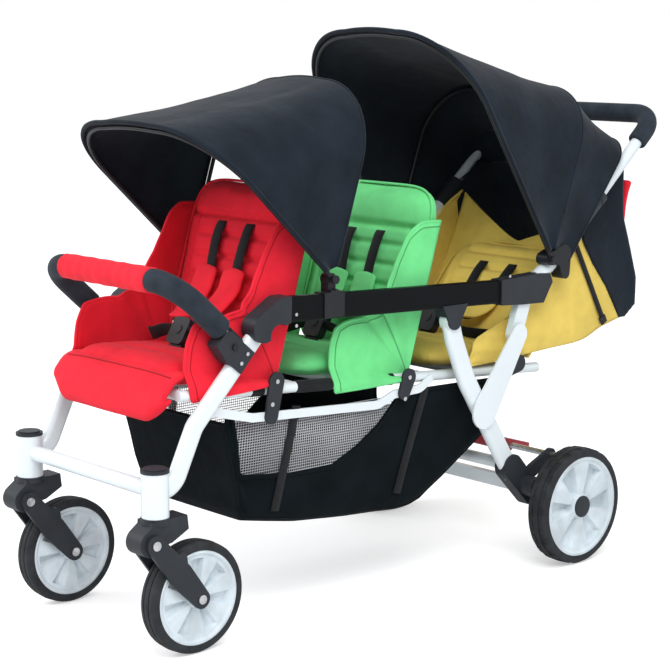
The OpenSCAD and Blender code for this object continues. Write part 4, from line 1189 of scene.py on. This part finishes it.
def hood_hoops():
    for name, arch, short in (("front", FRONT_ARCHES[1], 10), ("rear", REAR_ARCHES[2], 8)):
        bow = hood_hoop(f"{name}_hood_hoop", arch, short, BOW_INSET, True)
        give(bow, f"{name}_hood_bow", "black_plastic", f"{name}_canopy_bow")
    backs = [
        hood_hoop("back_hoop", arch, 6, inset, False)
        for arch, inset in zip((FRONT_ARCHES[0], REAR_ARCHES[1]), BACK_BOW_INSET)
    ]
    give(join("back_hood_hoops", backs), "chassis", "black_plastic", "canopy_rear_bows")


def canopy(node, arches, stops, sag, body, rows):
    """A sheet ruled from arch to arch, drawn in between them. The last arch swings with its bow."""
    heart = child_joint(body)
    heart.x = 0

    def place(u, v):
        k = max(i for i in range(len(stops) - 1) if u >= stops[i])
        s = (u - stops[k]) / (stops[k + 1] - stops[k])
        point = arches[k].point(v).lerp(arches[k + 1].point(v), s)
        slack = math.sin(math.pi * s)
        inward = heart - point
        inward.x *= 0.35
        crease = noise.noise(point * 7) * 4 + noise.noise(point * 19) * 1.6
        return point + inward.normalized() * (sag * slack + crease * slack ** 0.5) * MM

    cover = cloth(node + "_cover", place, rows, 132, black_cloth, 2.2)
    lip = tube(node + "_lip", [place(1.0, s) for s in spread(140)], 4.2, black_cloth, 8)
    hems = [tube(node + "_hem", [place(0.0, s) for s in spread(140)], 3.2, black_cloth, 8)]
    for stop in stops[1:-1]:
        line = [place(stop, s) for s in spread(140)[SEAM_START:-SEAM_START]]
        hems.append(tube(node + "_seam", line, 2.4, black_cloth, 8))
    hem = join(node + "_hem", hems)
    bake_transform(cover)
    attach(lip, body)
    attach(hem, "chassis")
    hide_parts(node)
    declare_sheet(cover)


# The curtain's lower edge by its share of the way round: across, behind the stems and above the ground
CURTAIN_X = [(0, 176), (0.16, 178), (0.28, 150), (0.5, 0)]
CURTAIN_D = [(0, 1112), (0.06, 1150), (0.16, 1222), (0.28, 1240), (0.5, 1242)]
CURTAIN_Z = [(0, 730), (0.06, 760), (0.16, 780), (0.5, 780)]
CURTAIN_CORNER = 0.16
CURTAIN_START = 0.06


def rear_curtain():
    """The cloth that closes the rear canopy down to the top of the back panel."""

    def place(u, v):
        w = mix(CURTAIN_START, 1 - CURTAIN_START, v)
        half = min(w, 1 - w)
        sign = 1 if w < 0.5 else -1
        top = REAR_EDGE.point(w)
        low = at(sign * chain(CURTAIN_X, half), chain(CURTAIN_D, half), chain(CURTAIN_Z, half))
        slack = math.sin(math.pi * u)
        over = 14 * max(0, 1 - half / CURTAIN_CORNER) * slack
        ripple = noise.noise(top * 8 + Vector((0, u, 0))) * 4 * slack
        return top.lerp(low, u) + Vector((0, ripple - 3 * slack, over)) * MM

    curtain = cloth("rear_curtain", place, 14, 90, black_cloth, 2.2)
    give(curtain, "chassis", "black_fabric")
    declare_sheet(curtain)


hood_hoops()
canopy("front_canopy", FRONT_ARCHES, [0, 1], 6, "front_hood_bow", 44)
canopy("rear_canopy", REAR_ARCHES, [0, 0.35, 1], 7, "rear_hood_bow", 60)
rear_curtain()


# Basket: a sagging shell slung from the seat bars, with a net in each side

BASKET_X = 177
BASKET_TAPER = 22
BASKET_DEEP = 190
BASKET_PLAN = 15
BASKET_PLAN_RUN = 110
BASKET_ENDS = (182, 852)
BASKET_RIM = [(180, 404), (224, 392), (529, 374), (572, 389), (640, 391), (856, 386)]
BASKET_EDGE = [
    (180, 401), (191, 394), (201, 350), (212, 282), (321, 270), (426, 268), (488, 297), (540, 333),
    (590, 384), (640, 387), (856, 382),
]
BASKET_FLOOR = [
    (180, 388), (193, 336), (211, 266), (225, 211), (237, 193), (357, 172), (483, 159), (561, 153),
    (615, 147), (645, 147), (674, 155), (732, 189), (790, 228), (846, 266), (856, 273),
]
BASKET_CORNER = 30


def basket_stations(rows):
    """Stations along the basket, closer together where the side drops to the net."""
    places = [BASKET_ENDS[0], 193, 216, 238, 480, 600, BASKET_ENDS[1]]
    shares = [0, 0.12, 0.28, 0.4, 0.62, 0.82, 1]
    return [chain(list(zip(shares, places)), s) for s in spread(rows)]


def basket_half(d, z):
    """The sides lean in towards the floor and draw together at the front."""
    lean = min(max((chain(BASKET_RIM, d) - z) / BASKET_DEEP, 0), 1)
    draw = max(0, 1 - (d - BASKET_ENDS[0]) / BASKET_PLAN_RUN) ** 2
    return BASKET_X - BASKET_TAPER * lean - BASKET_PLAN * draw


def basket_point(d, v):
    """Across the basket: v runs from the left edge down, over the floor and up the right side."""
    edge, floor = chain(BASKET_EDGE, d), chain(BASKET_FLOOR, d)
    corner = min(BASKET_CORNER, (edge - floor) / 2)
    wall = edge - floor - corner
    bend = corner * math.pi / 2
    half = basket_half(d, floor + corner)
    flat = half - corner
    s = abs(2 * v - 1) * (wall + bend + flat)
    sign = 1 if v < 0.5 else -1
    sag = 7 * math.sin(math.pi * min(max((d - 226) / 440, 0), 1))
    if s < flat:
        return at(sign * s, d, floor - sag * (1 - (s / half) ** 2))
    if s < flat + bend:
        turn = (s - flat) / corner
        drop = sag * (1 - (flat / half) ** 2) * math.cos(turn)
        return at(sign * (flat + corner * math.sin(turn)), d, floor + corner * (1 - math.cos(turn)) - drop)
    z = floor + corner + s - flat - bend
    hollow = 5 * math.sin(math.pi * (s - flat - bend) / max(wall, 1)) * math.sin(d * 0.021) ** 2
    return at(sign * (basket_half(d, z) - hollow), d, z)


def basket_corner_point(d, sign):
    """A point on the line where the side turns into the floor."""
    edge, floor = chain(BASKET_EDGE, d), chain(BASKET_FLOOR, d)
    corner = min(BASKET_CORNER, (edge - floor) / 2)
    half = basket_half(d, floor + corner) - corner
    return at(sign * (half + 0.72 * corner), d, floor + 0.28 * corner)


def basket():
    stations = basket_stations(96)
    rows = len(stations) - 1

    def place(u, v):
        return basket_point(stations[round(u * rows)], v)

    # The shell, its edges and its piping take the darker black: painted shade under the seats.
    shell = cloth("basket_cloth", place, rows, 72, basket_shade_black, 2.6)
    pieces = [shell]
    for sign, label in SIDES:
        edge = [basket_point(d, (1 - sign) / 2) for d in stations]
        pieces.append(tube(f"basket_edge_{label}", edge, 4.2, basket_shade_black, 8))
        corner = [basket_corner_point(mix(183, 846, s), sign) for s in spread(120)]
        pieces.append(tube(f"basket_seam_{label}", corner, 2.6, basket_shade_black, 8))
    for d, label in ((BASKET_ENDS[0], "front"), (BASKET_ENDS[1], "rear")):
        across = [basket_point(d, s) for s in spread(60)]
        pieces.append(tube(f"basket_piping_{label}", across, 4, basket_shade_black, 8))
    for piece in pieces:
        give(piece, "chassis", "black_fabric")
    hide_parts("basket")
    declare_sheet(shell)


NET_PITCH = 5
NET_CORD = 0.8


def net_span(z):
    """Stations where the side's cloth is lower than a height and the rim is higher."""
    inside = [d for d in range(192, 600, 2) if chain(BASKET_EDGE, d) < z < chain(BASKET_RIM, d) - 2]
    return (min(inside), max(inside)) if inside else None


def basket_net(sign, label):
    cords = []

    def knot(d, z):
        return at(sign * (basket_half(d, z) - 1), d, z)

    def cord(start, end):
        return tube("net_cord", [start, end], NET_CORD, net_cord, 4)

    for d in range(195, 590, NET_PITCH):
        low, high = chain(BASKET_EDGE, d), chain(BASKET_RIM, d) - 2
        if high - low > NET_PITCH:
            cords.append(cord(knot(d, low), knot(d, high)))
    for z in range(264, 396, NET_PITCH):
        span = net_span(z)
        if span and span[1] - span[0] > NET_PITCH:
            cords.append(cord(knot(span[0], z), knot(span[1], z)))
    give(join(f"basket_net_{label}", cords), "chassis", "black_fabric")


def basket_straps():
    """Hanging straps on the basket's sides."""
    for sign, label in SIDES:
        for k, (top, foot) in enumerate((((326, 400), (292, 206)), ((655, 392), (602, 186)))):
            line = [(mix(top[0], foot[0], s), mix(top[1], foot[1], s)) for s in (0, 0.35, 0.7, 1)]
            path = smooth_path([at(sign * (basket_half(d, z) + 4), d, z) for d, z in line], 8)
            piece = strap(f"basket_strap_{label}_{k + 1}", path, 20, strap_black, Vector((0, 1, 0)))
            give(piece, "chassis", "black_fabric")


SEAT_RAIL_X = 168
SLEEVE_R = 11.8
BLACK_LOOPS = [(227, 255), (332, 419), (457, 478), (562, 576)]


def rail_sleeves():
    """Black loops tie the seat covers to the seat rails."""
    loops = []
    for sign, _ in SIDES:
        for start, end in BLACK_LOOPS:
            stations = [mix(start, end, s) for s in spread(max(4, round((end - start) / 4)))]
            path = resampled([at(sign * SEAT_RAIL_X, d, rail_z(d)) for d in stations])
            loops.append(tube("rail_loop", path, rounded_ends(path, SLEEVE_R, 1.5), strap_black, 20))
    give(join("rail_loops", loops), "chassis", "black_fabric")


RAIL_R = 10
SPUR_R = 9
BROKEN_EDGE = 1.2
RAIL_SHOWN = 68
RAIL_SPURS = (132, 880)


def round_bar(name, start, end, radius, material):
    """A straight round bar with broken edges."""
    bar = cylinder(name, 40, radius * MM, (end - start).length)
    apply(bar, "BEVEL", width=BROKEN_EDGE * MM, segments=2, limit_method="ANGLE")
    stand(bar, (start + end) / 2, (end - start).normalized(), material)
    return bar


def seat_rails():
    """The seat rails start behind the front seat's flap; short spurs tie them to the legs."""
    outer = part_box("seat_rails")[1].x / MM
    bars = []
    for sign, _ in SIDES:
        x = sign * SEAT_RAIL_X
        front, rear = at(x, RAIL_SHOWN, rail_z(RAIL_SHOWN)), at(x, *RAIL_REAR)
        bars.append(round_bar("seat_rail", front, rear, RAIL_R, white_paint))
        for d in RAIL_SPURS:
            inner_end, outer_end = at(x, d, rail_z(d)), at(sign * outer, d, rail_z(d))
            bars.append(round_bar("rail_spur", inner_end, outer_end, SPUR_R, white_paint))
    give(join("seat_rail_tubes", bars), "chassis", "white_frame", "seat_rails")


basket()
for sign, label in SIDES:
    basket_net(sign, label)
basket_straps()
rail_sleeves()
seat_rails()


# Foam and sleeves on the bumper bar and the push handle


def hoop(base, slope, half, start, reach, bend, steps=12):
    """A U of tube in a sloping plane: up one side, round two bends and down the other."""
    lean = math.radians(slope)

    def out(x, v):
        return at(x, base[0] + v * math.cos(lean), base[1] + v * math.sin(lean))

    points = [out(half, mix(start, reach - bend, k / steps)) for k in range(steps)]
    for k in range(steps + 1):
        turn = math.pi / 2 * k / steps
        points.append(out(half - bend + bend * math.cos(turn), reach - bend + bend * math.sin(turn)))
    flat = [out(mix(half - bend, bend - half, k / (4 * steps)), reach) for k in range(1, 4 * steps)]
    return points + flat + [Vector((-p.x, p.y, p.z)) for p in points[::-1]]


BUMPER_SOCKET = (166, 540)
BUMPER_SLOPE = 138
BUMPER_HALF = 193
BUMPER_REACH = 160
BUMPER_BEND = 62
SLEEVE_HALF = 128
HANDLE_BEND = (981, 604)
HANDLE_SLOPE = 41.5
HANDLE_HALF = 204
HANDLE_REACH = 443
HANDLE_ROUND = 55
GRIP_LENGTH = 86


def bumper_foam():
    line = hoop(BUMPER_SOCKET, BUMPER_SLOPE, BUMPER_HALF, 30, BUMPER_REACH, BUMPER_BEND)
    left = [p for p in line if p.x > (SLEEVE_HALF - 6) * MM]
    pads = []
    for mirror in (1, -1):
        path = resampled([Vector((mirror * p.x, p.y, p.z)) for p in left])
        pads.append(tube("bumper_foam", path, rounded_ends(path, 21), black_foam, 28))
    foam = join("bumper_foam", pads)
    middle = [p for p in line if abs(p.x) < SLEEVE_HALF * MM]
    first = middle[0].copy()
    first.x = SLEEVE_HALF * MM
    last = first.copy()
    last.x = -first.x
    path = resampled([first, *middle, last])
    sleeve = tube("bumper_sleeve_cloth", path, rounded_ends(path, 22.6, 2.5), red_cloth, 32)

    def rumple(p):
        return p + Vector((0, 0.5 * math.sin(p.x * 0.21), 0.5 * math.sin(p.x * 0.13 + p.y * 0.4)))

    reshape(sleeve, rumple)
    for piece, node, slot in ((foam, "bumper_pads", "foam"), (sleeve, "bumper_sleeve", "red_fabric")):
        give(piece, "bumper", slot, node)


def handle_foam():
    start = HANDLE_REACH - GRIP_LENGTH
    path = resampled(hoop(HANDLE_BEND, HANDLE_SLOPE, HANDLE_HALF, start, HANDLE_REACH, HANDLE_ROUND))
    grip = tube("handle_foam", path, rounded_ends(path, 20), black_foam, 28)
    give(grip, "handle", "foam", "handle_grip")


bumper_foam()
handle_foam()


# Wheels: cast rims with slanted scoops between broad spokes


COLUMNS = 8
SCOOP_COLUMNS = (2, 3, 4, 5)
LEAN_COLUMNS = (2, 3)
RIM_LIP = 5
RIM_DISH = 4
SPOKE_ROOT = 5
RIM_CORE = 2
SCOOP_FALL = 1.7
SCOOP_WALL = 3.5
HUB_STEP = 3
RIM_EDGE = 1.6
RIM_EDGE_ANGLE = math.radians(25)


def wheel_rim(node, body, scoops, hub, deep):
    """Cut a cast rim from a drum: a lip, a dished face, a raised hub and scoops on both faces."""
    low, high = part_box(node)
    centre = (low + high) / 2
    radius = (high.z - low.z) / 2
    width = high.x - low.x
    rim = cylinder(node + "_cast", COLUMNS * scoops, radius, width)
    ring = radius - (RIM_LIP + RIM_DISH) * MM
    face_z = width / 2 - RIM_DISH * MM
    deep = min(deep, (face_z / MM - RIM_CORE) / SCOOP_FALL)

    def column(face):
        turn = math.atan2(face.center.y, face.center.x) % (2 * math.pi)
        return int(turn / (2 * math.pi) * COLUMNS * scoops) % COLUMNS

    for side in (1, -1):
        pick_faces(rim, lambda face: face.normal.z * side > 0.9)
        bpy.ops.mesh.inset(thickness=RIM_LIP * MM, depth=0)
        bpy.ops.mesh.inset(thickness=RIM_DISH * MM, depth=-RIM_DISH * MM)
        bpy.ops.mesh.inset(thickness=SPOKE_ROOT * MM, depth=0)
        bpy.ops.mesh.inset(thickness=ring - SPOKE_ROOT * MM - hub * MM, depth=0)
        bpy.ops.mesh.inset(thickness=HUB_STEP * MM, depth=HUB_STEP * MM)
        bpy.ops.object.mode_set(mode="OBJECT")

        def in_scoop(face, columns, height):
            out = Vector((face.center.x, face.center.y)).length
            level = abs(face.center.z - side * height) < 0.5 * MM and face.normal.z * side > 0.9
            return level and hub * MM < out < ring - 3 * MM and column(face) in columns

        pick_faces(rim, lambda face: in_scoop(face, SCOOP_COLUMNS, face_z))
        bpy.ops.mesh.inset(thickness=SCOOP_WALL * MM, depth=-deep * MM)
        bpy.ops.object.mode_set(mode="OBJECT")
        pick_faces(rim, lambda face: in_scoop(face, LEAN_COLUMNS, face_z - deep * MM))
        bpy.ops.transform.translate(value=(0, 0, -side * deep * (SCOOP_FALL - 1) * MM))
        bpy.ops.object.mode_set(mode="OBJECT")
    apply(rim, "BEVEL", width=RIM_EDGE * MM, segments=2, limit_method="ANGLE", angle_limit=RIM_EDGE_ANGLE)
    stand(rim, centre, LEFT, white_plastic)
    give(rim, body, "white_rim", node)


for label in ("left", "right"):
    wheel_rim(f"rear_rim_{label}", f"rear_wheel_{label}", 6, 26, 11)
    wheel_rim(f"front_rim_{label}", f"front_wheel_{label}", 7, 18, 8)


# Small hardware: rivets, bolts and hub caps


def heads(name, places, radius, height):
    """A row of like rivets on both sides, joined into one piece."""
    made = []
    for x, d, z in places:
        for sign, _ in SIDES:
            made.append(disc(name, at(sign * x, d, z), LEFT * sign, radius, height, bright_steel))
    give(join(name, made), "chassis", "steel")


def side_of(node):
    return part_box(node)[1].x / MM


SIDE_RAIL_TALL = 46


def rail_height(d):
    """The middle of a side rail's outer face."""
    low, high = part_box("side_rails")
    front, rear = (low.y - STEM_Y) / MM, (high.y - STEM_Y) / MM
    slope = (high.z - low.z) / MM - SIDE_RAIL_TALL
    return low.z / MM + SIDE_RAIL_TALL / 2 + slope * (d - front) / (rear - front)


def hardware():
    rail = side_of("side_rails") + 0.6
    spots = [(rail, d, rail_height(d) + s) for d in (296, 852) for s in (-10, 10)]
    heads("rail_rivets", spots, 3.2, 1.6)
    bracket = side_of("bumper_brackets") + 0.6
    heads("bracket_rivets", [(bracket, 191, 514), (bracket, 177, 499)], 3.6, 1.8)
    plate = side_of("recline_plates") + 0.8
    spots = []
    for seat in (SEATS["front"], SEATS["middle"]):
        spots.append((plate, seat.hinge[0], seat.hinge[1]))
        spots.append((plate, seat.hinge[0] - 12, seat.hinge[1] - 40))
    heads("recline_rivets", spots, 4.2, 2.2)
    for sign, label in SIDES:
        axle_caps(sign, label)


def axle_caps(sign, label):
    """A plated bolt on each fork pivot and front axle, and a dark cap in each rear hub."""
    way = LEFT * sign
    inner, outer = (corner.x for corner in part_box(f"fork_{label}")[::sign])
    pivot = joints[f"fork_suspension_{label}"]["pos_m"]
    axle = joints[f"front_wheel_spin_{label}"]["pos_m"]
    bolts = []
    for face, out in ((outer, way), (inner, -way)):
        for spot in (pivot, axle):
            place = Vector((face, spot[1], spot[2])) + out * 1.2 * MM
            bolts.append(disc("fork_bolt", place, out, 8.5, 3.5, bright_steel, 0.5))
    give(join(f"fork_bolts_{label}", bolts), f"fork_{label}", "steel")
    low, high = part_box(f"rear_rim_{label}")
    outer = high.x if sign > 0 else low.x
    hub = (low + high) / 2
    place = Vector((outer + sign * 0.5 * MM, hub.y, hub.z))
    cap = disc(f"rear_hub_cap_{label}", place, way, 22, 4, grey_plastic, 0.3)
    give(cap, f"rear_wheel_{label}", "black_plastic")


hardware()


# Stage and light

WORLD_LIGHT = 0.8
KEY_POWER = 95
KEY_PLACE = (2.2, -1.6, 3.2)
FILL_POWER = 40
FILL_PLACE = (-2.0, -2.4, 2.0)
LIGHT_TARGET = (0, 0, 0.5)
FLOOR_GLOW = 0.4


def white_to_camera(tree):
    """Camera, mirror and glass rays see plain white."""
    path = tree.nodes.new("ShaderNodeLightPath")
    seen = path.outputs["Is Camera Ray"]
    for kind in ("Is Glossy Ray", "Is Transmission Ray"):
        either = tree.nodes.new("ShaderNodeMath")
        either.operation = "MAXIMUM"
        tree.links.new(seen, either.inputs[0])
        tree.links.new(path.outputs[kind], either.inputs[1])
        seen = either.outputs[0]
    return seen


def world_light():
    world = bpy.data.worlds.new("studio")
    bpy.context.scene.world = world
    world.use_nodes = True
    tree = world.node_tree
    tree.nodes.clear()
    soft = tree.nodes.new("ShaderNodeBackground")
    soft.inputs["Color"].default_value = (0.96, 0.98, 1.0, 1)
    soft.inputs["Strength"].default_value = WORLD_LIGHT
    plain = tree.nodes.new("ShaderNodeBackground")
    plain.inputs["Color"].default_value = (1, 1, 1, 1)
    plain.inputs["Strength"].default_value = 1.0
    choose = tree.nodes.new("ShaderNodeMixShader")
    out = tree.nodes.new("ShaderNodeOutputWorld")
    tree.links.new(white_to_camera(tree), choose.inputs["Fac"])
    tree.links.new(soft.outputs[0], choose.inputs[1])
    tree.links.new(plain.outputs[0], choose.inputs[2])
    tree.links.new(choose.outputs[0], out.inputs["Surface"])


def floor():
    material = bpy.data.materials.new("floor_white")
    material.use_nodes = True
    tree = material.node_tree
    shader = tree.nodes["Principled BSDF"]
    shader.inputs["Base Color"].default_value = (0.9, 0.9, 0.9, 1)
    shader.inputs["Roughness"].default_value = 0.9
    shader.inputs["Specular IOR Level"].default_value = 0.0
    shader.inputs["Emission Color"].default_value = (1, 1, 1, 1)
    path = tree.nodes.new("ShaderNodeLightPath")
    glow = tree.nodes.new("ShaderNodeMath")
    glow.operation = "MULTIPLY"
    glow.inputs[1].default_value = FLOOR_GLOW
    tree.links.new(path.outputs["Is Camera Ray"], glow.inputs[0])
    tree.links.new(glow.outputs[0], shader.inputs["Emission Strength"])
    bpy.ops.object.select_all(action="DESELECT")
    bpy.ops.mesh.primitive_plane_add(size=30, location=(0, 0, -0.5 * MM))
    plane = bpy.context.active_object
    plane.name = "floor"
    plane.data.transform(plane.matrix_world)
    plane.matrix_world = Matrix.Identity(4)
    plane.data.materials.append(material)


def lamp(name, place, target, size, power):
    data = bpy.data.lights.new(name, "AREA")
    data.size = size
    data.energy = power
    obj = bpy.data.objects.new(name, data)
    bpy.context.scene.collection.objects.link(obj)
    aim = (Vector(target) - Vector(place)).to_track_quat("-Z", "Y")
    obj.matrix_world = Matrix.Translation(place) @ aim.to_matrix().to_4x4()


world_light()
floor()
lamp("key", KEY_PLACE, LIGHT_TARGET, 2.4, KEY_POWER)
lamp("fill", FILL_PLACE, LIGHT_TARGET, 2.0, FILL_POWER)
bpy.context.scene.view_settings.view_transform = "Standard"
